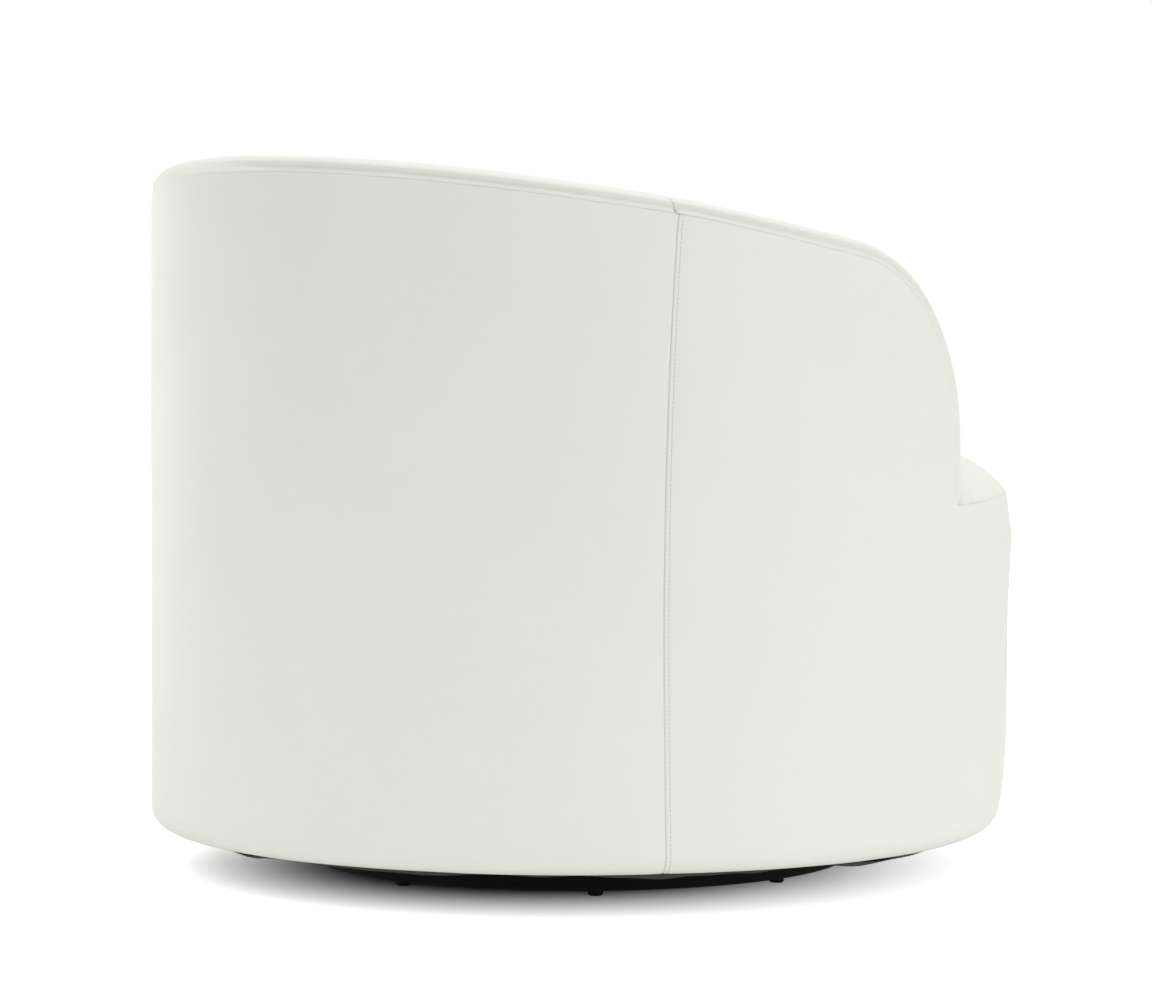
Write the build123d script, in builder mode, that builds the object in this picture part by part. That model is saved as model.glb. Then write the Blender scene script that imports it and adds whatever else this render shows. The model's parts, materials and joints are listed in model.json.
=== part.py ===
import math
import os

from build123d import *

os.makedirs("parts", exist_ok=True)

# Overall form, in millimetres; the front of the chair faces -Y and the floor is z = 0
body_radius = 420.0
rim_back_height = 678.0
rim_back_slope = 0.075
rim_arc_radius = 5500.0
arm_setback = 75.5
nose_length = 110.0
nose_low_height = 415.0
nose_roundness = 2.6
body_bottom_height = 40.0
bottom_edge_radius = 22.0
side_seam_forward = 74.0

# Seat and inside of the tub
seat_crown_height = 430.0
seat_seam_height = 362.0
seat_crown_reach = 220.0
seat_shoulder_reach = 130.0
seat_edge_reach = 22.0
seat_edge_rise = 34.0
hip_wall = 145.0
hip_center_forward = 110.0
shoulder_wall = 120.0
shoulder_center_forward = 38.0
shoulder_height = 660.0

# Layers of the upholstered wall
leather = 2.0
wadding_thickness = 8.0
board_thickness = 4.0
frame_depth = 27.0
rim_lip = 32.0
thin_pad = 8.0
foot_draw = 3.0
outer_edge_radius = 16.0
inner_edge_radius = 28.0
seam_gap = 1.0
seam_stub = 4.0
layer_gap = 0.3
cover_ease = 0.8
hem_width = 26.0
steepest_stretch = 8.0
slope_step = 0.5

# Base, from the floor up
glide_count = 8
glide_diameter = 14.0
glide_height = 6.3
glide_edge_chamfer = 1.4
glide_circle_radius = 246.0
glide_turn = 3.3
nail_diameter = 2.6
nail_head_diameter = 7.0
nail_head_height = 1.2
nail_depth_in_base = 13.0
nail_depth_in_glide = 3.6
base_radius = 265.0
base_thickness = 17.7
base_edge_chamfer = 1.5

# Swivel bearing
swivel_height = 18.0
plate_side = 300.0
plate_corner_radius = 24.0
plate_thickness = 3.0
ball_diameter = 8.0
ball_count = 30
ball_circle_radius = 117.0
race_width = 20.0
race_height = 3.0
ball_clearance = 0.06
retainer_thickness = 3.0
retainer_width = 17.0
pocket_clearance = 0.2
bolt_square = 250.0
bolt_diameter = 6.0
bolt_head_diameter = 12.0
bolt_head_height = 3.4
bolt_clearance = 0.2
tee_flange_diameter = 19.0
tee_flange_height = 1.6
tee_barrel_diameter = 8.0
tee_barrel_length = 9.0
pivot_diameter = 12.0
pivot_head_diameter = 24.0
pivot_head_height = 5.0
pivot_running_clearance = 0.05
bush_wall = 3.0
bush_flange_width = 4.0
bush_flange_height = 2.0
pivot_washer_height = 2.0
pivot_nut_height = 9.0
pivot_nut_width = 18.0
pivot_nut_chamber = 42.0

# Wooden frame
bottom_board_thickness = 18.0
deck_thickness = 24.0
deck_top_height = 260.0
spring_border = 25.0
post_width = 45.0
post_angles = (0.0, 42.0, 80.0, 115.0, 150.0)
upper_post_angles = (80.0, 115.0, 150.0)
rail_thickness = 20.0
rail_end_angle = 60.0
screw_diameter = 4.5
screw_head_diameter = 9.0
screw_head_height = 3.0
screw_length = 50.0
webbing_thickness = 1.5
webbing_width = 50.0
webbing_heights = (310.0, 390.0, 470.0)
webbing_end_angle = 66.0

# Seat springing
spring_count = 5
spring_spacing = 84.0
spring_wire = 3.8
spring_half_width = 22.0
spring_pitch = 24.0
spring_bend_radius = 9.0
spring_overlap = 14.0
clip_width = 16.0
clip_length = 12.0
clip_thickness = 1.2
felt_thickness = 5.0

# Dust cover under the body
dust_cover_thickness = 0.7
dust_cover_opening = 220.0
dust_cover_edge = 12.0

# Room past the body for the shapes that trim it, and how many sections draw each stretch of wall
trim_margin = 30.0
nose_sections = 6
arm_sections = 7
side_sections = 6
back_sections = 8
rail_sections = 20
rail_overlap_angle = 1.0

# Heights and radii that follow from the sizes above
base_top = glide_height + base_thickness
board_bottom = base_top + swivel_height
board_top = board_bottom + bottom_board_thickness
deck_bottom = deck_top_height - deck_thickness
skin_inner = body_radius - leather
wadding_outer = skin_inner - layer_gap
wadding_inner = wadding_outer - wadding_thickness
board_outer = wadding_inner - layer_gap
board_inner = board_outer - board_thickness
frame_outer = board_inner - layer_gap
frame_inner = frame_outer - frame_depth
foam_inset = leather + cover_ease
foam_bottom = deck_top_height + layer_gap
spring_level = deck_top_height + spring_wire / 2
felt_bottom = deck_top_height + spring_wire + layer_gap
seat_foam_bottom = felt_bottom + felt_thickness + layer_gap
skin_curve_top = body_bottom_height + bottom_edge_radius
bottom_board_radius = body_radius - bottom_edge_radius - layer_gap
reach_past = body_radius + trim_margin
arm_reach = body_radius - arm_setback
hip_radius = body_radius - hip_wall
shoulder_radius = body_radius - shoulder_wall
nose_angle = math.degrees(math.acos(arm_reach / body_radius))
lip_reach = arm_reach - rim_lip
seam_angle = math.degrees(math.acos(side_seam_forward / body_radius))


def rim_line(forward):
    # height of the long top edge, falling from the back to the arms
    run = max(forward + body_radius, 0.0)
    return rim_back_height - rim_back_slope * run - run**2 / (2 * rim_arc_radius)


def rim_height(forward):
    # height of the crown over the wall, with the roll down over the arm front
    along = (forward - (arm_reach - nose_length)) / nose_length
    if along <= 0:
        return rim_line(forward)
    left = max(1 - min(along, 1.0) ** nose_roundness, 0.0)
    return nose_low_height + (rim_line(forward) - nose_low_height) * math.sqrt(left)


def stretch(forward):
    # how much a layer thickens upwards where the rim is steep
    near = min(forward, arm_reach)
    slope = (rim_height(near - slope_step) - rim_height(near)) / slope_step
    return min(math.sqrt(1 + slope**2), steepest_stretch)


def seam_height(forward):
    # height of the seam between the outer covers and the rolled rim
    drop = min((outer_edge_radius + seam_stub) * stretch(forward), 2 * outer_edge_radius + seam_stub)
    return max(rim_height(forward) - drop, seat_seam_height + seam_gap)


def lip_height(forward):
    # height of the hidden edge under the padded rim
    return rim_height(forward + rim_lip) - rim_lip


def inner_radius(angle, height, inset):
    # distance from the axis to the leaning inside of the tub
    lean = max(height - seat_crown_height, 0) / (shoulder_height - seat_crown_height)
    radius = hip_radius + (shoulder_radius - hip_radius) * lean + inset
    center = hip_center_forward + (shoulder_center_forward - hip_center_forward) * lean
    turn = math.radians(angle)
    return center * math.cos(turn) + math.sqrt(radius**2 - (center * math.sin(turn)) ** 2)


def pad_outer(angle):
    # outer limit of the inside padding, clear of the frame
    least = inner_radius(angle, deck_top_height, foam_inset) + foot_draw + thin_pad
    return max(frame_inner - webbing_thickness - 2 * layer_gap, least)


def forward_of(angle):
    return body_radius * math.cos(math.radians(angle))


def angle_of(forward):
    return math.degrees(math.acos(forward / body_radius))


def radial_plane(angle):
    turn = math.radians(angle)
    out = (math.sin(turn), -math.cos(turn), 0)
    return Plane(origin=(0, 0, 0), x_dir=out, z_dir=(-math.cos(turn), -math.sin(turn), 0))


def spread(first, last, count):
    return [first + (last - first) * i / count for i in range(count + 1)]


def both_sides(angles):
    return angles + [360 - angle for angle in reversed(angles[:-1])]


def nose_stations(reach, length, count):
    # angles that crowd together towards the steep end of the arm
    return [angle_of(reach - length * (i / count) ** 2) for i in range(count + 1)]


# Angles from the front at which the wall is drawn, the same for every layer of it
nose_angles = nose_stations(arm_reach, rim_lip, nose_sections)
arm_angles = nose_stations(lip_reach, nose_length, arm_sections)
arm_angles = arm_angles + spread(arm_angles[-1], seam_angle, side_sections)[1:]
half_angles = arm_angles + spread(seam_angle, 180, back_sections)[1:]

side_plane = Plane(origin=(0, 0, 0), x_dir=(0, -1, 0), z_dir=(-1, 0, 0))


def arc_through(a, b, center_r, center_z):
    # quarter round between two points about a given centre
    bulge = math.sqrt(0.5)
    mid_r = center_r + ((a[0] - center_r) + (b[0] - center_r)) * bulge
    mid_z = center_z + ((a[1] - center_z) + (b[1] - center_z)) * bulge
    ThreePointArc(a, (mid_r, mid_z), b)


def wall_points(angle, inset):
    # corner points of the padded wall, set in from the leather surface
    forward = forward_of(angle)
    top = rim_height(forward) - inset * stretch(forward)
    outer = body_radius - inset
    outer_round = outer_edge_radius - inset
    inner_round = inner_edge_radius - inset
    lean_top = inner_radius(angle, top - inner_round, inset)
    knee = min(seat_crown_height, top - inner_round - thin_pad)
    foot = inner_radius(angle, foam_bottom, inset)
    return {
        "side": (outer, top - outer_round),
        "shoulder": (outer - outer_round, top),
        "crown": (lean_top + inner_round, top),
        "face": (lean_top, top - inner_round),
        "knee": (foot, knee),
        "foot": (foot + foot_draw, foam_bottom),
        "outer": outer,
    }


def rim_over(points):
    # line over the crown, from the outside of the wall to its inside foot
    shoulder = points["shoulder"]
    side = points["side"]
    crown = points["crown"]
    face = points["face"]
    arc_through(side, shoulder, shoulder[0], side[1])
    Line(shoulder, crown)
    arc_through(crown, face, crown[0], face[1])
    Line(face, points["knee"])
    Line(points["knee"], points["foot"])


def tub_section(angle):
    # padding that lines the wall and lies over its hidden rail
    points = wall_points(angle, foam_inset)
    lip = max(lip_height(forward_of(angle)), foam_bottom + thin_pad)
    pad = pad_outer(angle)
    with BuildSketch(radial_plane(angle)) as section:
        with BuildLine():
            Line((points["outer"], lip), points["side"])
            rim_over(points)
            Line(points["foot"], (pad, foam_bottom))
            Line((pad, foam_bottom), (pad, lip))
            Line((pad, lip), (points["outer"], lip))
        make_face()
    return section.sketch


def nose_section(angle, turned):
    # padding at the front end of an arm, without a hollow
    points = wall_points(angle, foam_inset)
    with BuildSketch(radial_plane(turned)) as section:
        with BuildLine():
            Line((points["outer"], foam_bottom), points["side"])
            rim_over(points)
            Line(points["foot"], (points["outer"], foam_bottom))
        make_face()
    return section.sketch


def cover_section(angle):
    # leather over the rim and down the inside of the tub
    over = wall_points(angle, 0)
    under = wall_points(angle, leather)
    hem = seam_height(forward_of(angle)) + seam_gap
    with BuildSketch(radial_plane(angle)) as section:
        with BuildLine():
            Line((over["outer"], hem), over["side"])
            rim_over(over)
            Line(over["foot"], under["foot"])
            rim_over(under)
            Line(under["side"], (under["outer"], hem))
            Line((under["outer"], hem), (over["outer"], hem))
        make_face()
    return section.sketch


def block_section(angle, inner, outer, low, high):
    with BuildSketch(radial_plane(angle)) as section:
        with BuildLine():
            Polyline((inner, low), (outer, low), (outer, high), (inner, high), close=True)
        make_face()
    return section.sketch


def cut_above(height_of, angles, radius, shelf, drop):
    # takes away everything above the sloping rim and above the front apron
    forward = [radius * math.cos(math.radians(a)) - drop for a in reversed(angles)]
    height = [height_of(forward_of(a)) - drop for a in reversed(angles)]
    points = list(zip(forward, height))
    end = points[-1]
    sky = rim_back_height + rim_lip
    with BuildSketch(side_plane) as above:
        with BuildLine():
            Line((-reach_past, sky), (-reach_past, points[0][1]))
            Line((-reach_past, points[0][1]), points[0])
            Spline(points)
            Line(end, (end[0], shelf))
            Line((end[0], shelf), (reach_past, shelf))
            Line((reach_past, shelf), (reach_past, sky))
            Line((reach_past, sky), (-reach_past, sky))
        make_face()
    extrude(above.sketch, amount=reach_past, both=True, mode=Mode.SUBTRACT)


def ring_profile(inner, outer, low, high):
    with BuildSketch(Plane.XZ) as ring:
        with BuildLine():
            Polyline((inner, low), (outer, low), (outer, high), (inner, high), close=True)
        make_face()
    revolve(ring.sketch, axis=Axis.Z)


def keep_front():
    # keeps what lies in front of the side seams
    with BuildSketch(Plane.XY) as behind:
        with Locations((0, (reach_past - side_seam_forward) / 2)):
            Rectangle(2 * reach_past, reach_past + side_seam_forward)
    extrude(behind.sketch, amount=rim_back_height + rim_lip, mode=Mode.SUBTRACT)


def keep_back():
    # keeps what lies behind the side seams
    with BuildSketch(Plane.XY) as before:
        with Locations((0, -(reach_past + side_seam_forward - layer_gap) / 2)):
            Rectangle(2 * reach_past, reach_past - side_seam_forward + layer_gap)
    extrude(before.sketch, amount=rim_back_height + rim_lip, mode=Mode.SUBTRACT)


def seat_outline(gap):
    # takes away the wall of the tub, leaving the seat between the arms
    side = reach_past
    half = math.radians(nose_angle) - gap / body_radius
    with BuildSketch(Plane.XY) as wall:
        Circle(side)
        with Locations((0, -hip_center_forward)):
            Circle(hip_radius - gap, mode=Mode.SUBTRACT)
        with BuildLine():
            corner = (side * math.sin(half), -side * math.cos(half))
            far = (0, -side / math.cos(half))
            Polyline((0, 0), corner, far, (-corner[0], corner[1]), close=True)
        make_face(mode=Mode.SUBTRACT)
    extrude(wall.sketch, amount=rim_back_height, mode=Mode.SUBTRACT)


def seat_profile(drop, rim_radius, low):
    # crowned half profile of the seat
    center_r = body_radius - seat_crown_reach
    top = seat_crown_height - drop
    edge = (rim_radius - seat_edge_reach, seat_seam_height + seat_edge_rise)
    with BuildSketch(Plane.XZ) as profile:
        with BuildLine():
            Line((0, low), (0, top))
            Line((0, top), (center_r, top))
            shoulder = (center_r + seat_shoulder_reach, top)
            Bezier((center_r, top), shoulder, edge, (rim_radius, seat_seam_height))
            Line((rim_radius, seat_seam_height), (rim_radius, low))
            Line((rim_radius, low), (0, low))
        make_face()
    return profile.sketch


def bolt_places():
    half = bolt_square / 2
    return [(half, half), (half, -half), (-half, half), (-half, -half)]


def post_places(angles):
    # each angle on both sides, with the one at the front and the back once
    both = []
    for angle in angles:
        both.append(angle)
        if angle > 0:
            both.append(360 - angle)
    return both + [180.0]


def post_plane(angle, radius):
    turn = math.radians(angle)
    out = (math.sin(turn), -math.cos(turn), 0)
    place = (radius * out[0], radius * out[1], 0)
    return Plane(origin=place, x_dir=(math.cos(turn), math.sin(turn), 0), z_dir=out)


def screw_place(angle):
    radius = (frame_inner + post_outer) / 2
    turn = math.radians(angle)
    return (radius * math.sin(turn), -radius * math.cos(turn))


def save(builder, name):
    builder.part.label = name
    export_step(builder.part, "parts/" + name + ".step")


half_post = post_width / 2
post_outer = math.sqrt(frame_outer**2 - half_post**2)
lower_places = post_places(post_angles)
upper_places = post_places(upper_post_angles)

# Base disc on its glides
with BuildPart() as base_disc:
    with BuildSketch(Plane.XY.offset(glide_height)):
        Circle(base_radius)
    extrude(amount=base_thickness)
    chamfer(base_disc.edges().filter_by(GeomType.CIRCLE), base_edge_chamfer)
    with BuildSketch(Plane.XY.offset(glide_height)):
        with PolarLocations(glide_circle_radius, glide_count, start_angle=-90 + glide_turn):
            Circle(nail_diameter / 2 + layer_gap / 2)
    extrude(amount=nail_depth_in_base + layer_gap, mode=Mode.SUBTRACT)
    with BuildSketch(Plane.XY.offset(glide_height)):
        with Locations(*bolt_places()):
            Circle(tee_flange_diameter / 2 + layer_gap)
    extrude(amount=tee_flange_height + layer_gap, mode=Mode.SUBTRACT)
    with BuildSketch(Plane.XY.offset(glide_height)):
        with Locations(*bolt_places()):
            Circle(tee_barrel_diameter / 2 + bolt_clearance)
    extrude(amount=base_thickness, mode=Mode.SUBTRACT)
    with BuildSketch(Plane.XY.offset(base_top)):
        Circle(pivot_head_diameter / 2 + layer_gap)
    extrude(amount=-pivot_head_height - layer_gap, mode=Mode.SUBTRACT)
save(base_disc, "base_disc")

with BuildPart() as glide_feet:
    with BuildSketch(Plane.XY):
        with PolarLocations(glide_circle_radius, glide_count, start_angle=-90 + glide_turn):
            Circle(glide_diameter / 2)
    extrude(amount=glide_height)
    chamfer(glide_feet.edges().group_by(Axis.Z)[0], glide_edge_chamfer)
    with BuildSketch(Plane.XY.offset(glide_height)):
        with PolarLocations(glide_circle_radius, glide_count, start_angle=-90 + glide_turn):
            Circle(nail_diameter / 2 + layer_gap / 2)
    extrude(amount=-nail_depth_in_glide, mode=Mode.SUBTRACT)
    with BuildSketch(Plane.XY.offset(glide_height - nail_depth_in_glide)):
        with PolarLocations(glide_circle_radius, glide_count, start_angle=-90 + glide_turn):
            Circle(nail_head_diameter / 2 + layer_gap / 2)
    extrude(amount=nail_head_height + layer_gap / 2, mode=Mode.SUBTRACT)
save(glide_feet, "glide_feet")

with BuildPart() as glide_nails:
    with BuildSketch(Plane.XY.offset(glide_height - nail_depth_in_glide)):
        with PolarLocations(glide_circle_radius, glide_count, start_angle=-90 + glide_turn):
            Circle(nail_head_diameter / 2)
    extrude(amount=nail_head_height)
    with BuildSketch(Plane.XY.offset(glide_height - nail_depth_in_glide)):
        with PolarLocations(glide_circle_radius, glide_count, start_angle=-90 + glide_turn):
            Circle(nail_diameter / 2)
    extrude(amount=nail_depth_in_glide + nail_depth_in_base)
save(glide_nails, "glide_nails")

# Swivel bearing: two plates with ball races, a caged ring of balls and a pivot bolt
ball_height = base_top + swivel_height / 2
race_groove = ball_diameter / 2 + ball_clearance


def race_plate(low, race_low, center_hole):
    with BuildSketch(Plane.XY.offset(low)) as plate:
        RectangleRounded(plate_side, plate_side, plate_corner_radius)
        with Locations(*bolt_places()):
            Circle(bolt_diameter / 2 + bolt_clearance, mode=Mode.SUBTRACT)
        Circle(center_hole, mode=Mode.SUBTRACT)
    extrude(plate.sketch, amount=plate_thickness)
    with BuildSketch(Plane.XY.offset(race_low)) as race:
        Circle(ball_circle_radius + race_width / 2)
        Circle(ball_circle_radius - race_width / 2, mode=Mode.SUBTRACT)
    extrude(race.sketch, amount=race_height)
    with BuildSketch(Plane.XZ) as groove:
        with Locations((ball_circle_radius, ball_height)):
            Circle(race_groove)
    revolve(groove.sketch, axis=Axis.Z, mode=Mode.SUBTRACT)


with BuildPart() as lower_swivel_plate:
    race_plate(base_top, base_top + plate_thickness, pivot_diameter / 2 + layer_gap / 2)
save(lower_swivel_plate, "lower_swivel_plate")

with BuildPart() as upper_swivel_plate:
    race_plate(
        board_bottom - plate_thickness,
        board_bottom - plate_thickness - race_height,
        pivot_diameter / 2 + bush_wall + layer_gap / 2,
    )
save(upper_swivel_plate, "upper_swivel_plate")

with BuildPart() as bearing_balls:
    with PolarLocations(ball_circle_radius, ball_count):
        with Locations((0, 0, ball_height)):
            Sphere(ball_diameter / 2)
save(bearing_balls, "bearing_balls")

with BuildPart() as ball_retainer:
    with BuildSketch(Plane.XY.offset(ball_height - retainer_thickness / 2)):
        Circle(ball_circle_radius + retainer_width / 2)
        Circle(ball_circle_radius - retainer_width / 2, mode=Mode.SUBTRACT)
        with PolarLocations(ball_circle_radius, ball_count):
            Circle(ball_diameter / 2 + pocket_clearance, mode=Mode.SUBTRACT)
    extrude(amount=retainer_thickness)
save(ball_retainer, "ball_retainer")

bush_flange_bottom = board_bottom
bush_flange_top = bush_flange_bottom + bush_flange_height
washer_bottom = bush_flange_top + layer_gap
nut_bottom = washer_bottom + pivot_washer_height
pivot_top = nut_bottom + pivot_nut_height + plate_thickness

with BuildPart() as pivot_bolt:
    with BuildSketch(Plane.XY.offset(base_top - pivot_head_height)):
        Circle(pivot_head_diameter / 2)
    extrude(amount=pivot_head_height)
    with BuildSketch(Plane.XY.offset(base_top)):
        Circle(pivot_diameter / 2)
    extrude(amount=pivot_top - base_top)
save(pivot_bolt, "pivot_bolt")

with BuildPart() as pivot_bush:
    with BuildSketch(Plane.XY.offset(board_bottom - plate_thickness)):
        Circle(pivot_diameter / 2 + bush_wall)
    extrude(amount=plate_thickness)
    with BuildSketch(Plane.XY.offset(bush_flange_bottom)):
        Circle(pivot_diameter / 2 + bush_wall + bush_flange_width)
    extrude(amount=bush_flange_height)
    with BuildSketch(Plane.XY.offset(board_bottom - plate_thickness)):
        Circle(pivot_diameter / 2 + pivot_running_clearance)
    extrude(amount=plate_thickness + bush_flange_height, mode=Mode.SUBTRACT)
save(pivot_bush, "pivot_bush")

with BuildPart() as pivot_washer:
    with BuildSketch(Plane.XY.offset(washer_bottom)):
        Circle(pivot_diameter / 2 + bush_wall + bush_flange_width)
        Circle(pivot_diameter / 2 + layer_gap / 2, mode=Mode.SUBTRACT)
    extrude(amount=pivot_washer_height)
save(pivot_washer, "pivot_washer")

with BuildPart() as pivot_nut:
    with BuildSketch(Plane.XY.offset(nut_bottom)):
        RegularPolygon(pivot_nut_width / 2, 6, major_radius=False)
        Circle(pivot_diameter / 2 + pivot_running_clearance, mode=Mode.SUBTRACT)
    extrude(amount=pivot_nut_height)
save(pivot_nut, "pivot_nut")


def disks(level, places, diameter):
    with BuildSketch(Plane.XY.offset(level)) as rounds:
        with Locations(*places):
            Circle(diameter / 2)
    return rounds.sketch


def tee_nuts(level, direction):
    places = bolt_places()
    flange = disks(level, places, tee_flange_diameter)
    extrude(flange, amount=direction * tee_flange_height)
    barrel = disks(level, places, tee_barrel_diameter)
    extrude(barrel, amount=direction * tee_barrel_length)
    bore = disks(level, places, bolt_diameter + bolt_clearance)
    extrude(bore, amount=direction * tee_barrel_length, mode=Mode.SUBTRACT)


def headed(level, direction, places, head, head_height, shank, length):
    # head on one side of a level and shank on the other
    extrude(disks(level, places, head), amount=-direction * head_height)
    extrude(disks(level, places, shank), amount=direction * length)


with BuildPart() as base_tee_nuts:
    tee_nuts(glide_height, 1)
save(base_tee_nuts, "base_tee_nuts")

with BuildPart() as base_bolts:
    bolt_run = plate_thickness + base_thickness - layer_gap
    headed(
        base_top + plate_thickness,
        -1,
        bolt_places(),
        bolt_head_diameter,
        bolt_head_height,
        bolt_diameter,
        bolt_run,
    )
save(base_bolts, "base_bolts")

with BuildPart() as board_tee_nuts:
    tee_nuts(board_top, -1)
save(board_tee_nuts, "board_tee_nuts")

with BuildPart() as board_bolts:
    bolt_run = plate_thickness + bottom_board_thickness - layer_gap
    headed(
        board_bottom - plate_thickness,
        1,
        bolt_places(),
        bolt_head_diameter,
        bolt_head_height,
        bolt_diameter,
        bolt_run,
    )
save(board_bolts, "board_bolts")

# Wooden frame: bottom board, posts, seat deck, top rail and arm stumps
with BuildPart() as bottom_board:
    with BuildSketch(Plane.XY.offset(board_bottom)):
        Circle(bottom_board_radius)
        Circle(pivot_nut_chamber / 2, mode=Mode.SUBTRACT)
        with Locations(*bolt_places()):
            Circle(tee_barrel_diameter / 2 + bolt_clearance, mode=Mode.SUBTRACT)
        with Locations(*[screw_place(a) for a in lower_places]):
            Circle(screw_diameter / 2, mode=Mode.SUBTRACT)
    extrude(amount=bottom_board_thickness)
    with BuildSketch(Plane.XY.offset(board_top)):
        with Locations(*bolt_places()):
            Circle(tee_flange_diameter / 2 + layer_gap)
    extrude(amount=-tee_flange_height - layer_gap, mode=Mode.SUBTRACT)
    with BuildSketch(Plane.XY.offset(board_bottom)):
        with Locations(*[screw_place(a) for a in lower_places]):
            Circle(screw_head_diameter / 2 + layer_gap)
    extrude(amount=screw_head_height + layer_gap, mode=Mode.SUBTRACT)
save(bottom_board, "bottom_board")

with BuildPart() as lower_posts:
    for angle in lower_places:
        with BuildSketch(post_plane(angle, frame_inner)):
            with BuildLine():
                Polyline(
                    (-half_post, board_top),
                    (half_post, board_top),
                    (half_post, deck_bottom),
                    (-half_post, deck_bottom),
                    close=True,
                )
            make_face()
        extrude(amount=post_outer - frame_inner)
    with BuildSketch(Plane.XY.offset(board_top)):
        with Locations(*[screw_place(a) for a in lower_places]):
            Circle(screw_diameter / 2)
    extrude(amount=deck_bottom - board_top, mode=Mode.SUBTRACT)
save(lower_posts, "lower_posts")

with BuildPart() as seat_deck:
    with BuildSketch(Plane.XY.offset(deck_bottom)):
        Circle(frame_outer)
        with Locations((0, -hip_center_forward)):
            Circle(hip_radius - spring_border, mode=Mode.SUBTRACT)
        with Locations(*[screw_place(a) for a in lower_places]):
            Circle(screw_diameter / 2, mode=Mode.SUBTRACT)
    extrude(amount=deck_thickness)
    with BuildSketch(Plane.XY.offset(deck_top_height)):
        with Locations(*[screw_place(a) for a in lower_places]):
            Circle(screw_head_diameter / 2 + layer_gap)
    extrude(amount=-screw_head_height - layer_gap, mode=Mode.SUBTRACT)
save(seat_deck, "seat_deck")


def frame_screws(head_level, direction):
    places = [screw_place(a) for a in lower_places]
    under = head_level + direction * screw_head_height
    headed(
        under,
        direction,
        places,
        screw_head_diameter,
        screw_head_height,
        screw_diameter,
        screw_length,
    )


with BuildPart() as board_screws:
    frame_screws(board_bottom, 1)
save(board_screws, "board_screws")

with BuildPart() as deck_screws:
    frame_screws(deck_top_height, -1)
save(deck_screws, "deck_screws")


def rail_top(angle):
    return lip_height(forward_of(angle)) - 2 * layer_gap


def rail_section(angle):
    high = rail_top(angle)
    return block_section(angle, frame_inner, frame_outer, high - rail_thickness, high)


with BuildPart() as upper_posts:
    for angle in upper_places:
        reach = math.degrees(half_post / frame_inner)
        with BuildSketch(post_plane(angle, frame_inner)):
            with BuildLine():
                Polyline(
                    (-half_post, deck_top_height),
                    (half_post, deck_top_height),
                    (half_post, rail_top(angle + reach) - rail_thickness - layer_gap),
                    (-half_post, rail_top(angle - reach) - rail_thickness - layer_gap),
                    close=True,
                )
            make_face()
        extrude(amount=post_outer - frame_inner)
save(upper_posts, "upper_posts")

with BuildPart() as top_rail:
    loft([rail_section(angle) for angle in spread(rail_end_angle, 360 - rail_end_angle, rail_sections)])
save(top_rail, "top_rail")


def stump_stations():
    reach = arm_reach - rim_lip - 2 * seam_gap
    length = reach - forward_of(rail_end_angle - rail_overlap_angle)
    return nose_stations(reach, length, arm_sections)


def stump_section(angle, turned):
    forward = forward_of(angle) + rim_lip + 2 * seam_gap
    inner = max(frame_inner, pad_outer(angle) + layer_gap)
    high = rim_height(forward) - rim_lip - 2 * seam_gap
    return block_section(turned, inner, frame_outer, deck_top_height, high)


with BuildPart() as arm_stump_left:
    loft([stump_section(angle, angle) for angle in stump_stations()])
save(arm_stump_left, "arm_stump_left")

with BuildPart() as arm_stump_right:
    loft([stump_section(angle, 360 - angle) for angle in stump_stations()])
save(arm_stump_right, "arm_stump_right")

with BuildPart() as back_webbing:
    for height in webbing_heights:
        with BuildSketch(radial_plane(webbing_end_angle)):
            with Locations((frame_inner - layer_gap - webbing_thickness / 2, height)):
                Rectangle(webbing_thickness, webbing_width)
        revolve(axis=Axis.Z, revolution_arc=360 - 2 * webbing_end_angle)
save(back_webbing, "back_webbing")

# Springs across the deck opening, their clips and the felt over them
spring_offsets = [spring_spacing * (i - (spring_count - 1) / 2) for i in range(spring_count)]


def spring_half_length(offset):
    return math.sqrt((hip_radius - spring_border) ** 2 - offset**2) + spring_overlap


with BuildPart() as seat_springs:
    for offset in spring_offsets:
        half = spring_half_length(offset)
        runs = 2 * round(half / spring_pitch) + 1
        step = 2 * half / runs
        start = -hip_center_forward - half
        side = spring_half_width
        turns = [(offset - side, start)]
        for i in range(runs):
            turns.append((offset + side, start + step * i))
            turns.append((offset + side, start + step * (i + 1)))
            side = -side
        turns.append((offset + side, start + 2 * half))
        points = [(x, y, spring_level) for x, y in turns]
        with BuildLine() as wire_path:
            FilletPolyline(*points, radius=spring_bend_radius)
        with BuildSketch(Plane(origin=points[0], z_dir=(1, 0, 0))):
            Circle(spring_wire / 2)
        sweep(path=wire_path.line)
save(seat_springs, "seat_springs")

with BuildPart() as spring_clips:
    for offset in spring_offsets:
        half = spring_half_length(offset)
        for end in (-1, 1):
            place = -hip_center_forward + end * half
            tall = spring_wire + layer_gap + clip_thickness
            with BuildSketch(Plane.XY.offset(deck_top_height)):
                with Locations((offset, place)):
                    Rectangle(clip_width, clip_length)
            extrude(amount=tall)
            with BuildSketch(Plane.XY.offset(deck_top_height)):
                with Locations((offset, place)):
                    Rectangle(clip_width, spring_wire + 2 * layer_gap)
            extrude(amount=spring_wire + layer_gap, mode=Mode.SUBTRACT)
save(spring_clips, "spring_clips")

with BuildPart() as spring_felt:
    with BuildSketch(Plane.XY.offset(felt_bottom)):
        with Locations((0, -hip_center_forward)):
            Circle(hip_radius - spring_border - layer_gap)
    extrude(amount=felt_thickness)
save(spring_felt, "spring_felt")

# Seat: crowned foam under a sewn leather cover
with BuildPart() as seat_foam:
    revolve(seat_profile(foam_inset, wadding_outer, seat_foam_bottom), axis=Axis.Z)
    seat_outline(2 * layer_gap)
save(seat_foam, "seat_foam")

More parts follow.
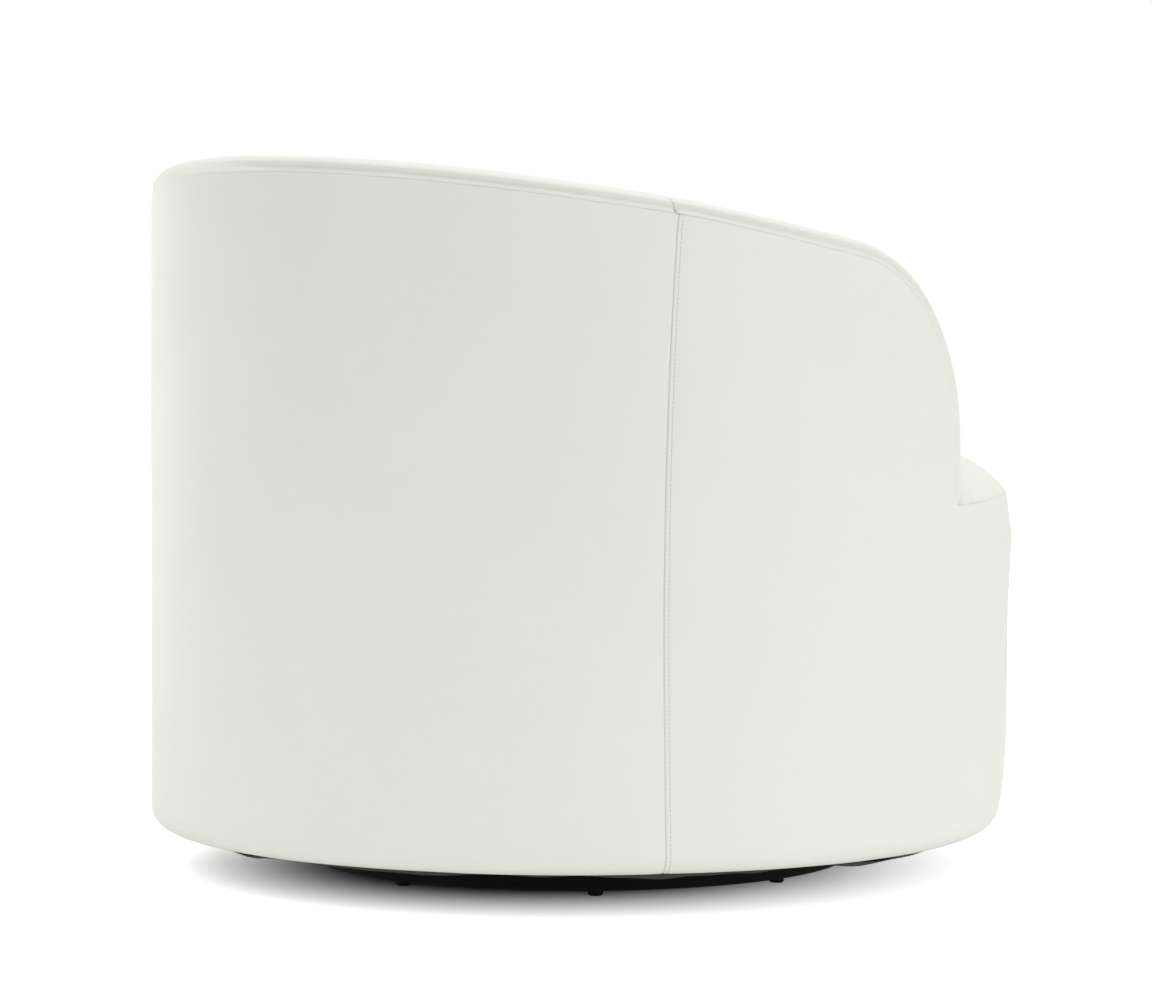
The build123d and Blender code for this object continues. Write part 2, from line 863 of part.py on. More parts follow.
with BuildPart() as seat_cover:
    revolve(seat_profile(0, body_radius, seat_seam_height - layer_gap), axis=Axis.Z)
    hollow = seat_profile(leather, skin_inner, seat_seam_height - 2 * leather)
    revolve(hollow, axis=Axis.Z, mode=Mode.SUBTRACT)
    seat_outline(2 * layer_gap)
save(seat_cover, "seat_cover")

# Padding and leather of the wall
with BuildPart() as tub_foam:
    loft([tub_section(angle) for angle in both_sides(half_angles)])
save(tub_foam, "tub_foam")

with BuildPart() as nose_foam_left:
    loft([nose_section(angle, angle) for angle in nose_angles])
save(nose_foam_left, "nose_foam_left")

with BuildPart() as nose_foam_right:
    loft([nose_section(angle, 360 - angle) for angle in nose_angles])
save(nose_foam_right, "nose_foam_right")

with BuildPart() as inner_arm_cover_left:
    loft([cover_section(angle) for angle in nose_angles + arm_angles[1:]])
save(inner_arm_cover_left, "inner_arm_cover_left")

with BuildPart() as inner_arm_cover_right:
    loft([cover_section(360 - angle) for angle in nose_angles + arm_angles[1:]])
save(inner_arm_cover_right, "inner_arm_cover_right")

with BuildPart() as inner_back_cover:
    loft([cover_section(angle) for angle in spread(seam_angle, 360 - seam_angle, 2 * back_sections)])
save(inner_back_cover, "inner_back_cover")


def outer_skin():
    # drum of leather with its lower edge turned under the frame
    flat = body_radius - bottom_edge_radius
    round_inside = bottom_edge_radius - leather
    under = body_bottom_height + leather
    top = rim_back_height
    with BuildSketch(Plane.XZ) as skin:
        with BuildLine():
            Line((body_radius, top), (body_radius, skin_curve_top))
            arc_through(
                (body_radius, skin_curve_top), (flat, body_bottom_height), flat, skin_curve_top
            )
            Line((flat, body_bottom_height), (flat - hem_width, body_bottom_height))
            Line((flat - hem_width, body_bottom_height), (flat - hem_width, under))
            Line((flat - hem_width, under), (flat, under))
            arc_through((flat, under), (flat + round_inside, skin_curve_top), flat, skin_curve_top)
            Line((flat + round_inside, skin_curve_top), (flat + round_inside, top))
            Line((flat + round_inside, top), (body_radius, top))
        make_face()
    revolve(skin.sketch, axis=Axis.Z)
    shelf = seat_seam_height - 2 * layer_gap
    cut_above(seam_height, nose_angles + half_angles[1:], skin_inner, shelf, layer_gap)


with BuildPart() as outer_back_cover:
    outer_skin()
    keep_back()
save(outer_back_cover, "outer_back_cover")

with BuildPart() as outer_front_cover:
    outer_skin()
    keep_front()
save(outer_front_cover, "outer_front_cover")


def wall_shell(inner, outer, low):
    # thin drum behind the leather, ending under the padded rim and at the deck in front
    ring_profile(inner, outer, low, rim_back_height)
    cut_above(lip_height, half_angles, inner, deck_top_height, seam_gap)


with BuildPart() as back_board:
    wall_shell(board_inner, board_outer, board_top)
    keep_back()
save(back_board, "back_board")

with BuildPart() as front_board:
    wall_shell(board_inner, board_outer, board_top)
    keep_front()
save(front_board, "front_board")

with BuildPart() as outer_wadding:
    wall_shell(wadding_inner, wadding_outer, skin_curve_top)
save(outer_wadding, "outer_wadding")

# Soft roll that rounds the lower edge, and the dust cover under the frame
with BuildPart() as hem_roll:
    flat = body_radius - bottom_edge_radius
    soft = bottom_edge_radius - foam_inset
    with BuildSketch(Plane.XZ):
        with BuildLine():
            Line((flat, skin_curve_top - soft), (flat, board_top - layer_gap))
            low_side = flat + math.sqrt(soft**2 - (skin_curve_top - board_top + layer_gap) ** 2)
            Line((flat, board_top - layer_gap), (low_side, board_top - layer_gap))
            bulge = soft * math.sqrt(0.5)
            ThreePointArc(
                (low_side, board_top - layer_gap),
                (flat + bulge, skin_curve_top - bulge),
                (flat, skin_curve_top - soft),
            )
        make_face()
    revolve(axis=Axis.Z)
save(hem_roll, "hem_roll")

with BuildPart() as dust_cover:
    with BuildSketch(Plane.XY.offset(body_bottom_height - layer_gap)):
        Circle(body_radius - bottom_edge_radius - dust_cover_edge)
        Circle(dust_cover_opening, mode=Mode.SUBTRACT)
    extrude(amount=-dust_cover_thickness)
save(dust_cover, "dust_cover")
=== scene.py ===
import json
import math

import bpy
import numpy as np
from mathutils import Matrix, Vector, noise


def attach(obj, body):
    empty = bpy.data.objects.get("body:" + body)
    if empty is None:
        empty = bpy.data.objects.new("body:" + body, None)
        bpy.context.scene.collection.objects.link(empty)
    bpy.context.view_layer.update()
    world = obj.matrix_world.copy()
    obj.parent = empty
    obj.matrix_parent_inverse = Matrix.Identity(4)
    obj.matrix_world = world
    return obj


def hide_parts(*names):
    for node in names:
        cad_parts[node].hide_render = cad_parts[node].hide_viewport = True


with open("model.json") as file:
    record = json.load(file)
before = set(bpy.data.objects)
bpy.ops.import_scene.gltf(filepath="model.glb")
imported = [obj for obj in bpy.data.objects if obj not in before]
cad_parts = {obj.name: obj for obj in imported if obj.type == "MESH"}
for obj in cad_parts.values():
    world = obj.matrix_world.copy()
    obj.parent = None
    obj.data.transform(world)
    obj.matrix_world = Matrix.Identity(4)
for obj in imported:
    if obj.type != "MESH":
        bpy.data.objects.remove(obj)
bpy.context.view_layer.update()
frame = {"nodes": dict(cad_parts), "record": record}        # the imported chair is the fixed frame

print("frame loaded:", len(frame["nodes"]), "nodes")

# the drum, its sloping rim and the arm fronts, in metres, close to the form of the solids
form = {
    "radius": 0.4190,
    "rimBack": 0.678,
    "rimSlope": 0.075,
    "rimArc": 5.5,
    "puffAt": [-0.42, -0.28, -0.15, -0.07, 0.02, 0.07, 0.10, 0.14, 0.18, 0.22, 0.26, 0.35],
    "puff": [0.0, 0.0002, 0.0012, 0.0017, 0.0022, 0.0034, 0.0040, 0.0031, 0.0023, 0.0017, 0.0017,
             0.0017],
    "armReach": 0.3490,
    "noseLength": 0.110,
    "noseLow": 0.415,
    "noseRound": 2.6,
    "armFoot": 0.345,
    "foot": 0.040,
    "footRound": 0.0205,
    "hem": 0.026,
    "hip": 0.275,
    "hipForward": 0.110,
    "shoulder": 0.300,
    "shoulderForward": 0.038,
    "seatLevel": 0.430,
    "shoulderLevel": 0.660,
    "knee": 0.06,
    "tubFoot": 0.385,
    "fineTurn": 0.25,
    "rimSteps": 1500,
    "footSteps": 300,
}
drumRadius = form["radius"]
noseAngle = math.acos(form["armReach"] / drumRadius)

# how a sewn edge turns in: distance from the seam and depth below the leather
sewnEdge = {
    "away": [0.0, 0.0003, 0.0006, 0.0009, 0.0013, 0.0018, 0.0025, 0.0050],
    "deep": [0.0022, 0.0013, 0.00085, 0.00055, 0.0003, 0.0001, 0.00002, 0.0],
    "lap": 0.0006,
    "pull": 0.0005,
    "pullReach": 0.014,
    "stitchLine": 0.0045,
    "stitchDip": 0.00025,
    "stitchWidth": 0.0007,
    # groove depth at which the painted shade in a seam is full
    "fullShade": 0.002,
}
seamSteps = [0.0, 0.0003, 0.0006, 0.0009, 0.0013, 0.0018, 0.0025, 0.0035, 0.0045, 0.0055, 0.0068,
             0.0090, 0.0125, 0.0180, 0.0260, 0.0360]
# painted shade on the four rows next to the rim seam
rimShade = [0.75, 0.6, 0.4, 0.2]

# side seam on the outside: its place in front of the middle, and its bow above and below
sideSeam = {
    "forward": 0.072,
    "level": 0.23,
    "above": 0.374,
    "below": 0.19,
    "bowAbove": 0.0128,
    "bowBelow": 0.0017,
}

# seam under the rim: its depth below the crown, and how much of its groove and painted shade shows
rimSeam = {
    "depth": 0.0115,
    "topDepth": 0.0035,
    "backDepth": 0.0035,
    "turnPower": 1.5,
    "show": 0.55,
    "backFade": 0.9,
    "noseShow": 0.08,
    "apronShow": 0.4,
    "apronFade": 0.02,
}


def rimHeight(forward):
    run = np.maximum(forward + drumRadius, 0)
    line = form["rimBack"] - form["rimSlope"] * run - run ** 2 / (2 * form["rimArc"])
    line = line + np.interp(forward, form["puffAt"], form["puff"])
    along = np.clip((forward - form["armReach"] + form["noseLength"]) / form["noseLength"], 0, 1)
    return form["noseLow"] + (line - form["noseLow"]) * np.sqrt(1 - along ** form["noseRound"])


def innerRadius(turn, height):
    # leaning inside of the tub, with a soft knee at the seat
    rise = (height - form["seatLevel"]) / (form["shoulderLevel"] - form["seatLevel"])
    lean = (rise + np.sqrt(rise ** 2 + form["knee"] ** 2)) / 2
    ring = form["hip"] + (form["shoulder"] - form["hip"]) * lean
    centre = form["hipForward"] + (form["shoulderForward"] - form["hipForward"]) * lean
    return centre * np.cos(turn) + np.sqrt(ring ** 2 - (centre * np.sin(turn)) ** 2)


def ease(share):
    # smooth step from 0 to 1
    share = np.clip(share, 0, 1)
    return share * share * (3 - 2 * share)


def soften(values, reach):
    # running mean that keeps both ends
    kernel = np.ones(2 * reach + 1) / (2 * reach + 1)
    padded = np.concatenate([2 * values[0] - values[reach:0:-1], values,
                             2 * values[-1] - values[-2:-reach - 2:-1]])
    return np.convolve(padded, kernel, "valid")


def walkAlong(a, z, step=0.001, smooth=0):
    # even steps along a line drawn on the unrolled drum, with the direction that points off it
    run = np.concatenate([[0], np.cumsum(np.hypot(np.diff(a), np.diff(z)))])
    q = np.arange(0, run[-1], step)
    a = np.interp(q, run, a)
    z = np.interp(q, run, z)
    if smooth:
        a = soften(a, smooth)
        z = soften(z, smooth)
    ta = np.gradient(a, q)
    tz = np.gradient(z, q)
    size = np.hypot(ta, tz)
    return {"q": q, "a": a, "z": z, "na": tz / size, "nz": -ta / size}


def rimLine():
    # crown of the wall from the middle of the back to the foot of the arm, finer over the arm front
    fine, steps, below = form["fineTurn"], form["rimSteps"], form["footSteps"]
    turn = np.concatenate([np.linspace(math.pi, noseAngle + fine, steps)[:-1],
                           noseAngle + fine * np.linspace(1, 0, steps) ** 2])
    a = drumRadius * turn
    z = rimHeight(drumRadius * np.cos(turn))
    foot = np.linspace(form["noseLow"], form["armFoot"], below + 1)[1:]
    return walkAlong(np.append(a, np.full(below, a[-1])), np.append(z, foot), smooth=6)


rim = rimLine()


def onLine(line, q, key):
    return np.interp(q, line["q"], line[key])


def onRim(q, key):
    return onLine(rim, q, key)


def stationAt(line, run):
    # how far along a line it reaches a place round the drum
    return float(np.interp(-run, -line["a"], line["q"]))


def topShare(nz):
    # 1 where the rim lies level, 0 where it runs down the arm front
    return np.clip(nz, 0, 1) ** rimSeam["turnPower"]


def edgeDepth(q):
    # how far below the crown the seam runs: deepest round the back, shallow down the arm front
    deeper = rimSeam["topDepth"] + rimSeam["backDepth"] * backShare(onRim(q, "a"))
    return rimSeam["depth"] + deeper * topShare(onRim(q, "nz"))


def seamForward(z):
    high = np.maximum(z - sideSeam["level"], 0) / sideSeam["above"]
    low = np.maximum(sideSeam["level"] - z, 0) / sideSeam["below"]
    return sideSeam["forward"] + sideSeam["bowAbove"] * high ** 2 + sideSeam["bowBelow"] * low ** 2


def seamRun(z):
    return drumRadius * np.arccos(seamForward(z) / drumRadius)


def sewnDip(distance):
    # depth of the leather below its own surface near a seam
    dip = np.interp(distance, sewnEdge["away"], sewnEdge["deep"])
    return dip + sewnEdge["pull"] * np.exp(-distance / sewnEdge["pullReach"])


def stitchDip(distance):
    off = (distance - sewnEdge["stitchLine"]) / sewnEdge["stitchWidth"]
    return sewnEdge["stitchDip"] * np.exp(-off ** 2)


def softWaves(points, size, seed):
    # slow swells of the hide, between about -1 and 1
    flat = points.reshape(-1, 3) / size + seed
    found = [noise.noise(Vector(p)) for p in flat]
    return np.array(found).reshape(points.shape[:2])


def gridNormals(points, sample, towards):
    across = np.gradient(points, axis=1)
    along = np.gradient(points, axis=0)
    normal = np.cross(across, along)
    normal /= np.maximum(np.linalg.norm(normal, axis=2, keepdims=True), 1e-12)
    turned = float(normal[sample] @ np.array(towards)) < 0
    return (-normal if turned else normal), turned


def pick(piece):
    bpy.ops.object.select_all(action="DESELECT")
    piece.select_set(True)
    bpy.context.view_layer.objects.active = piece


def editAll(step, **options):
    # one edit step on the whole mesh of the active piece
    bpy.ops.object.mode_set(mode="EDIT")
    bpy.ops.mesh.select_all(action="SELECT")
    step(**options)
    bpy.ops.object.mode_set(mode="OBJECT")


def layGrid(name, points, turned=False):
    # a flat grid laid over the form, row by row
    rows, cols = points.shape[:2]
    bpy.ops.object.select_all(action="DESELECT")
    bpy.ops.mesh.primitive_grid_add(x_subdivisions=cols - 1, y_subdivisions=rows - 1, size=1)
    piece = bpy.context.object
    piece.name = name
    piece.data.name = name
    piece.data.vertices.foreach_set("co", points.reshape(-1).astype(np.float32))
    piece.data.update()
    if turned:
        editAll(bpy.ops.mesh.flip_normals)
    return piece


def paintShade(piece, paintedShade):
    # painted shade: share of a darker leather colour laid into the seams, grooves and folds where shade falls
    mark = piece.data.attributes.new("paintedShade", "FLOAT", "POINT")
    mark.data.foreach_set("value", np.clip(paintedShade, 0, 1).reshape(-1).astype(np.float32))


def thicken(piece, thickness):
    pick(piece)
    wall = piece.modifiers.new("hide", "SOLIDIFY")
    wall.thickness = thickness
    wall.offset = -1
    bpy.ops.object.modifier_apply(modifier=wall.name)
    bpy.ops.object.shade_smooth()


def finishCover(name, kind, points, facing, distances, seed, sharp, stitched, folds=0, fade=1):
    # swells and seam grooves of one sewn cover, with painted shade in the grooves and on the listed seam
    # rows; facing is a grid point and its way out
    normal, turned = gridNormals(points, *facing)
    near = np.array(distances)[:, None]
    dip = sewnDip(near) + (stitchDip(near) if stitched else 0)
    lift = (kind["waves"] * softWaves(points, kind["waveSize"], seed)
            + kind["ripples"] * softWaves(points, kind["rippleSize"], seed + kind["rippleSeed"]) + folds)
    moved = points + normal * (lift * fade - dip)[:, :, None]
    # painted shade, fuller where the seam groove is deeper
    groove = np.clip((dip - sewnEdge["pull"]) / sewnEdge["fullShade"], 0, 1)
    paintedShade = groove + np.zeros(points.shape[:2])
    for first, shades in kind["shade"]:
        rows = slice(first, first + len(shades))
        paintedShade[:, rows] = np.maximum(paintedShade[:, rows], np.outer(sharp, shades))
    piece = layGrid(name, moved, turned)
    paintShade(piece, paintedShade)
    thicken(piece, kind["thickness"])
    return piece, moved, normal


def swell(points, pinned, pressure, cap, steps=20):
    # the cover filled by its padding, held at its seams; gives how far each point moves
    trial = layGrid("coverTrial", points)
    held = trial.vertex_groups.new(name="seams")
    held.add([int(i) for i in np.flatnonzero(pinned.ravel())], 1.0, "REPLACE")
    sheet = trial.modifiers.new("cover", "CLOTH")
    sheet.settings.quality = 6
    sheet.settings.mass = 0.4
    sheet.settings.tension_stiffness = 12
    sheet.settings.compression_stiffness = 12
    sheet.settings.shear_stiffness = 6
    sheet.settings.bending_stiffness = 2
    sheet.settings.vertex_group_mass = "seams"
    sheet.settings.use_pressure = True
    sheet.settings.uniform_pressure_force = pressure
    sheet.settings.effector_weights.gravity = 0
    sheet.collision_settings.use_collision = False
    for step in range(1, steps + 1):
        bpy.context.scene.frame_set(step)
    cooked = trial.evaluated_get(bpy.context.evaluated_depsgraph_get())
    found = np.zeros(len(cooked.data.vertices) * 3)
    cooked.data.vertices.foreach_get("co", found)
    moved = found.reshape(points.shape) - points
    far = np.linalg.norm(moved, axis=2, keepdims=True)
    moved *= cap * np.tanh(far / cap) / np.maximum(far, 1e-9)
    bpy.data.objects.remove(trial)
    bpy.context.scene.frame_set(1)
    return moved


# padded wall: rolled rim, arm fronts and the inside of the tub
tub = {
    "seamTurn": math.radians(79.4),
    "seamTilt": -0.0070,
    "seamTiltReach": 0.070,
    # rows from the seam up, as inset and depth in millimetres; rolls as reach, width, height and
    # first angle
    "topEdge": [(2.2, 15.7), (1.3, 15.4), (0.85, 15.1), (0.55, 14.8), (0.35, 14.5), (0.25, 14.1),
                (0.3, 13.6), (0.55, 13.0), (1.0, 12.3), (1.6, 11.5), (2.1, 10.7), (2.3, 9.9),
                (2.1, 9.1), (1.6, 8.3), (1.0, 7.5)],
    "backEdge": [(2.2, 19.2), (1.9, 18.9), (1.76, 18.6), (1.75, 18.3), (1.82, 17.9), (2.02, 17.2),
                 (2.5, 16.2), (3.1, 15.2), (3.9, 14.0), (4.8, 12.8), (5.8, 11.6), (6.9, 10.4),
                 (8.2, 9.0), (9.8, 7.7), (11.5, 6.5)],
    "noseEdge": [(0.9, 12.2), (0.52, 11.9), (0.34, 11.6), (0.22, 11.3), (0.12, 10.9), (0.04, 10.4),
                 (0.01, 9.9), (0.0, 9.4), (0.0, 9.0), (0.0, 8.6), (0.0, 8.2), (0.0, 7.8),
                 (0.0, 7.4), (0.0, 7.0), (0.02, 6.4)],
    "topRoll": (15.5, 15.0, 7.3, 6),
    "backRoll": (34.0, 34.0, 26.0, 50),
    "noseRoll": (12.0, 12.0, 6.0, 8),
    "backTurn": (math.radians(125), math.radians(155)),
    "innerRoll": 0.030,
    "noseSoft": 0.8,
    "rollPull": 0.58,
    "crownDome": 0.022,
    "notchIn": 0.0030,
    "notchLevel": 0.3585,
    "notchReach": 0.006,
    "leastFace": 0.004,
    "tiltDepth": 0.0150,
    "leastRise": 0.3,
    "fanTurn": math.radians(60),
    "fanFoot": 0.030,
    "fanPower": 2.3,
    "outerRollRows": 11,
    "crownRows": 11,
    "rollRows": 11,
    "faceRows": 32,
    "spacing": 0.0085,
    "foldDepth": 0.0006,
    "foldCount": 46,
    "foldWander": (2, 7),
    "foldReach": 0.035,
    "waves": 0.0007,
    "waveSize": 0.16,
    "ripples": 0.0003,
    "rippleSize": 0.05,
    "rippleSeed": 9,
    "flatRows": 4,
    "fadeRows": 10,
    # painted shade on the rows beside the rim seam, and painted shade in the valley under the roll
    "shade": [(0, rimShade), (9, [0.06, 0.12, 0.15, 0.12, 0.06])],
    "thickness": 0.0018,
}
seamStation = stationAt(rim, drumRadius * tub["seamTurn"])
rimEnd = float(rim["q"][-1])


def footRun(q):
    # where a line down the inside of the wall ends, fanned out under the arm front
    first = drumRadius * tub["fanTurn"]
    last = drumRadius * noseAngle + tub["fanFoot"]
    start = stationAt(rim, first)
    share = np.clip((q - start) / (rimEnd - start), 0, 1)
    fan = first + (last - first) * (1 - (1 - share) ** tub["fanPower"])
    return np.where(q <= start, onRim(q, "a"), fan)


def backShare(a):
    # how far round the back, where the roll is fullest
    first, last = tub["backTurn"]
    return ease((a / drumRadius - first) / (last - first))


def seamShare(a, nz):
    # how much of the rim seam's groove and painted shade shows: full along the arms, fading round the back
    # and down the arm fronts
    top = rimSeam["noseShow"] + (1 - rimSeam["noseShow"]) * topShare(nz) ** 2
    beside = ease((np.abs(a) / drumRadius - noseAngle) / rimSeam["apronFade"] + 1)
    front = rimSeam["apronShow"] + (1 - rimSeam["apronShow"]) * beside
    return rimSeam["show"] * (1 - rimSeam["backFade"] * backShare(a)) * top * front


def wallSection(q):
    # one line across the wall: up over the rim from its outer seam, then down the inside
    a0, z0, na, nz = (onRim(q, key) for key in ("a", "z", "na", "nz"))
    top = topShare(nz)
    rear = backShare(a0)
    share = {"top": top * (1 - rear), "back": top * rear, "nose": 1 - top}
    inset, depth = 0, 0
    for key, part in share.items():
        reach, wide, tall, first = tub[key + "Roll"]
        roll = np.radians(np.linspace(first, 90, tub["outerRollRows"]))
        edge = np.array(tub[key + "Edge"])
        inset = inset + part * np.concatenate([edge[:, 0], reach - wide * np.cos(roll)]) / 1000
        depth = depth + part * np.concatenate([edge[:, 1], tall - tall * np.sin(roll)]) / 1000
    outerR = drumRadius - inset
    outerR = outerR - tub["notchIn"] * ease((tub["notchLevel"] - z0) / tub["notchReach"])
    turn0 = a0 / drumRadius
    corner = innerRadius(turn0, z0)
    soft = tub["innerRoll"] * (tub["noseSoft"] + (1 - tub["noseSoft"]) * top)
    crownEnd = corner + soft
    share = np.linspace(0, 1, tub["crownRows"] + 1)[1:]
    width = outerR[-1] - crownEnd
    crownR = outerR[-1] - width * share
    crownDepth = -tub["crownDome"] * width * (1 - np.cos(2 * math.pi * share)) / 2
    faceA, faceZ = a0 - na * soft, z0 - nz * soft
    faceR = innerRadius(faceA / drumRadius, faceZ)
    t = np.linspace(0, 1, tub["rollRows"] + 1)[1:]
    pull = tub["rollPull"]
    b0, b1, b2, b3 = (1 - t) ** 3, 3 * t * (1 - t) ** 2, 3 * t ** 2 * (1 - t), t ** 3
    rollR = (b0 * crownEnd + b1 * (crownEnd - pull * soft)
             + b2 * (faceR + pull * (corner - faceR)) + b3 * faceR)
    rollDepth = b2 * soft * (1 - pull) + b3 * soft
    r = np.concatenate([outerR, crownR, rollR])
    depth = np.concatenate([depth, crownDepth, rollDepth])
    a = a0 - na * depth
    z = z0 - nz * depth
    down = np.linspace(0, 1, tub["faceRows"] + 1)[1:]
    endA = footRun(q)
    endZ = min(form["tubFoot"], faceZ - tub["leastFace"])
    downA = faceA + (endA - faceA) * down
    downZ = faceZ + (endZ - faceZ) * down
    downR = innerRadius(downA / drumRadius, downZ)
    outside = np.arange(len(depth)) < len(inset)
    tilt = np.append(np.clip(depth / tub["tiltDepth"], 0, 1) * outside, np.zeros(len(down)))
    return np.concatenate([a, downA]), np.concatenate([z, downZ]), np.concatenate([r, downR]), tilt


def wallPanel(stations, distances):
    # stations are walked along the rim; a negative one lies on the right-hand side
    rows = []
    for q, d in zip(stations, distances):
        a, z, r, tilt = wallSection(abs(q))
        shift = tub["seamTilt"] * tilt * math.exp(-(d / tub["seamTiltReach"]) ** 2)
        a = a + shift
        z = z - shift * onRim(abs(q), "na") / max(onRim(abs(q), "nz"), tub["leastRise"])
        turn = a / drumRadius
        side = 1 if q >= 0 else -1
        rows.append(np.stack([side * r * np.sin(turn), -r * np.cos(turn), z], axis=1))
    return np.array(rows)


outerCount = len(tub["topEdge"]) + tub["outerRollRows"]
crownMiddle = outerCount + tub["crownRows"] // 2


def finishWall(name, stations, distances, seed, stitched):
    points = wallPanel(stations, distances)
    rows = np.arange(points.shape[1])
    # short folds where the cover is drawn down behind the seat
    around = np.arctan2(points[:, :, 0], -points[:, :, 1])
    swing, times = tub["foldWander"]
    folds = tub["foldDepth"] * np.sin(around * tub["foldCount"] + swing * np.sin(around * times))
    folds = folds * np.exp(-np.maximum(points[:, :, 2] - form["seatLevel"], 0) / tub["foldReach"])
    folds = folds * (rows >= outerCount + tub["crownRows"])
    fade = np.clip((rows - tub["flatRows"]) / tub["fadeRows"], 0, 1)
    sharp = [seamShare(onRim(abs(q), "a"), onRim(abs(q), "nz")) for q in stations]
    facing = ((len(stations) // 2, crownMiddle), (0, 0, 1))
    return finishCover(name, tub, points, facing, distances, seed, sharp, stitched, folds, fade)


def carryOn(steps, last, spacing):
    # goes on in even steps from the last one
    count = max(int(round((last - steps[-1]) / spacing)), 1)
    return steps + list(np.linspace(steps[-1], last, count + 1))[1:]


def bothWays(half):
    # a half and its mirror image, which share the middle
    return half + half[-2::-1]


armSpan = rimEnd - seamStation + sewnEdge["lap"]
armDistances = carryOn(seamSteps, armSpan, tub["spacing"])
armStations = [seamStation - sewnEdge["lap"] + d for d in armDistances]
backSpan = seamStation + sewnEdge["lap"]
backHalf = carryOn(seamSteps, backSpan, tub["spacing"])
backStations = [backSpan - d for d in backHalf] + [d - backSpan for d in backHalf[-2::-1]]

armLeft, armLeftGrid, armLeftNormal = finishWall("armCoverLeft", armStations, armDistances, 3.1, True)
armRight, armRightGrid, armRightNormal = finishWall(
    "armCoverRight", [-q for q in armStations], armDistances, 5.7, True)
tubBack = finishWall("tubBackCover", backStations, bothWays(backHalf), 8.4, False)[0]
print("wall covers laid:", [len(p.data.vertices) for p in (armLeft, armRight, tubBack)])

# outside of the drum: a back panel and a front panel that runs on as the apron
outer = {
    "apronCentre": 0.366,
    "apronNotch": 0.3535,
    "apronPower": 1.3,
    "topSteps": [0.0, 0.0003, 0.0006, 0.0009, 0.0013, 0.0018, 0.0025, 0.0040, 0.0065, 0.0095, 0.0130],
    "bodyRows": 44,
    "roundRows": 8,
    "hemRows": 3,
    "spacing": 0.0085,
    "noseSpacing": 0.0045,
    "bulgeLevels": [0.040, 0.057, 0.077, 0.116, 0.196, 0.255, 0.294, 0.324, 0.354, 0.370, 0.385,
                    0.410],
    "bulge": [-0.0095, -0.0090, -0.0052, -0.0020, -0.0005, 0.0003, 0.0026, 0.0038, 0.0000, -0.0022,
              -0.0008, 0.0],
    "bulgeTurn": math.radians(68),
    "margin": 0.004,
    "apronSteps": 260,
    "lean": 0.0006,
    "backLean": 0.0014,
    "leanReach": 0.008,
    "bowReach": 0.08,
    "footBlend": 0.10,
    "fanTurn": math.radians(62),
    "fanLevel": 0.45,
    "fanMiddleFoot": 0.085,
    "fanCornerFoot": 0.022,
    "fanEndFoot": -0.050,
    "fanSoft": 12,
    "sampleRow": 30,
    "waves": 0.0005,
    "waveSize": 0.20,
    "ripples": 0.00015,
    "rippleSize": 0.06,
    "rippleSeed": 4,
    # painted shade on the rows beside the rim seam
    "shade": [(0, rimShade)],
    "thickness": 0.0018,
}
noseRun = drumRadius * noseAngle


def apronTop(a):
    # seam between apron and seat, lowest in the notch beside the arm
    fall = outer["apronCentre"] - outer["apronNotch"]
    return outer["apronCentre"] - fall * (abs(a) / noseRun) ** outer["apronPower"]


def outerTop(front):
    # upper edge of an outer panel on the unrolled drum
    drop = edgeDepth(rim["q"]) - sewnEdge["lap"]
    a = rim["a"] - rim["na"] * drop
    z = rim["z"] - rim["nz"] * drop
    if not front:
        keep = a > seamRun(z) - outer["margin"]
        return walkAlong(a[keep], z[keep], smooth=2)
    keep = (a < seamRun(z) + outer["margin"]) & (z > outer["apronNotch"] + 0.001)
    apron = np.linspace(a[keep][-1] - 0.001, 0, outer["apronSteps"])
    level = apronTop(np.minimum(apron, noseRun))
    return walkAlong(np.append(a[keep], apron), np.append(z[keep], level), smooth=3)


def seamCrossing(top):
    # where the side seam meets the upper edge
    off = top["a"] - seamRun(top["z"])
    return float(np.interp(0, -off, top["q"]))


def bulgeOf(turn, z):
    share = np.clip(np.abs(turn) / outer["bulgeTurn"], 0, 1)
    return np.cos(share * math.pi / 2) ** 2 * np.interp(z, outer["bulgeLevels"], outer["bulge"])


def drumPoint(a, z, inset):
    turn = a / drumRadius
    r = drumRadius + bulgeOf(turn, z) - inset
    return np.stack([r * np.sin(turn), -r * np.cos(turn), z], axis=-1)


def outerColumn(top, q, seamDistance, footA):
    # one line down the panel, from the rim seam to the turned hem under the frame
    a0, z0, na, nz = (onLine(top, q, key) for key in ("a", "z", "na", "nz"))
    steps = np.array(outer["topSteps"])
    a = a0 - na * steps
    z = z0 - nz * steps
    leanIn = (outer["lean"] + outer["backLean"] * backShare(a0)) * topShare(nz)
    sharp = seamShare(a0, nz)
    inset = sharp * np.interp(steps, sewnEdge["away"], sewnEdge["deep"])
    inset = inset + leanIn * np.exp(-steps / outer["leanReach"])
    lowZ = form["foot"] + form["footRound"]
    down = np.linspace(0, 1, outer["bodyRows"] + 1)[1:]
    bodyA = a[-1] + (footA - a[-1]) * down
    bodyZ = z[-1] + (lowZ - z[-1]) * down
    straight = seamRun(z[-1]) + (seamRun(lowZ) - seamRun(z[-1])) * down
    fade = math.exp(-(seamDistance / outer["bowReach"]) ** 2)
    bodyA = bodyA + (seamRun(bodyZ) - straight) * fade
    arc = np.radians(np.linspace(0, 90, outer["roundRows"] + 1)[1:])
    rowA = np.concatenate([a, bodyA, np.full(outer["roundRows"] + outer["hemRows"], footA)])
    soft = form["footRound"]
    rowZ = np.concatenate([z, bodyZ, lowZ - soft * np.sin(arc), np.full(outer["hemRows"], form["foot"])])
    hem = soft + np.linspace(0, form["hem"], outer["hemRows"] + 1)[1:]
    bodyInset = leanIn * np.exp(-np.hypot(bodyA - a0, bodyZ - z0) / outer["leanReach"])
    rowInset = np.concatenate([inset, bodyInset, soft - soft * np.cos(arc), hem])
    return rowA, rowZ, rowInset, sharp


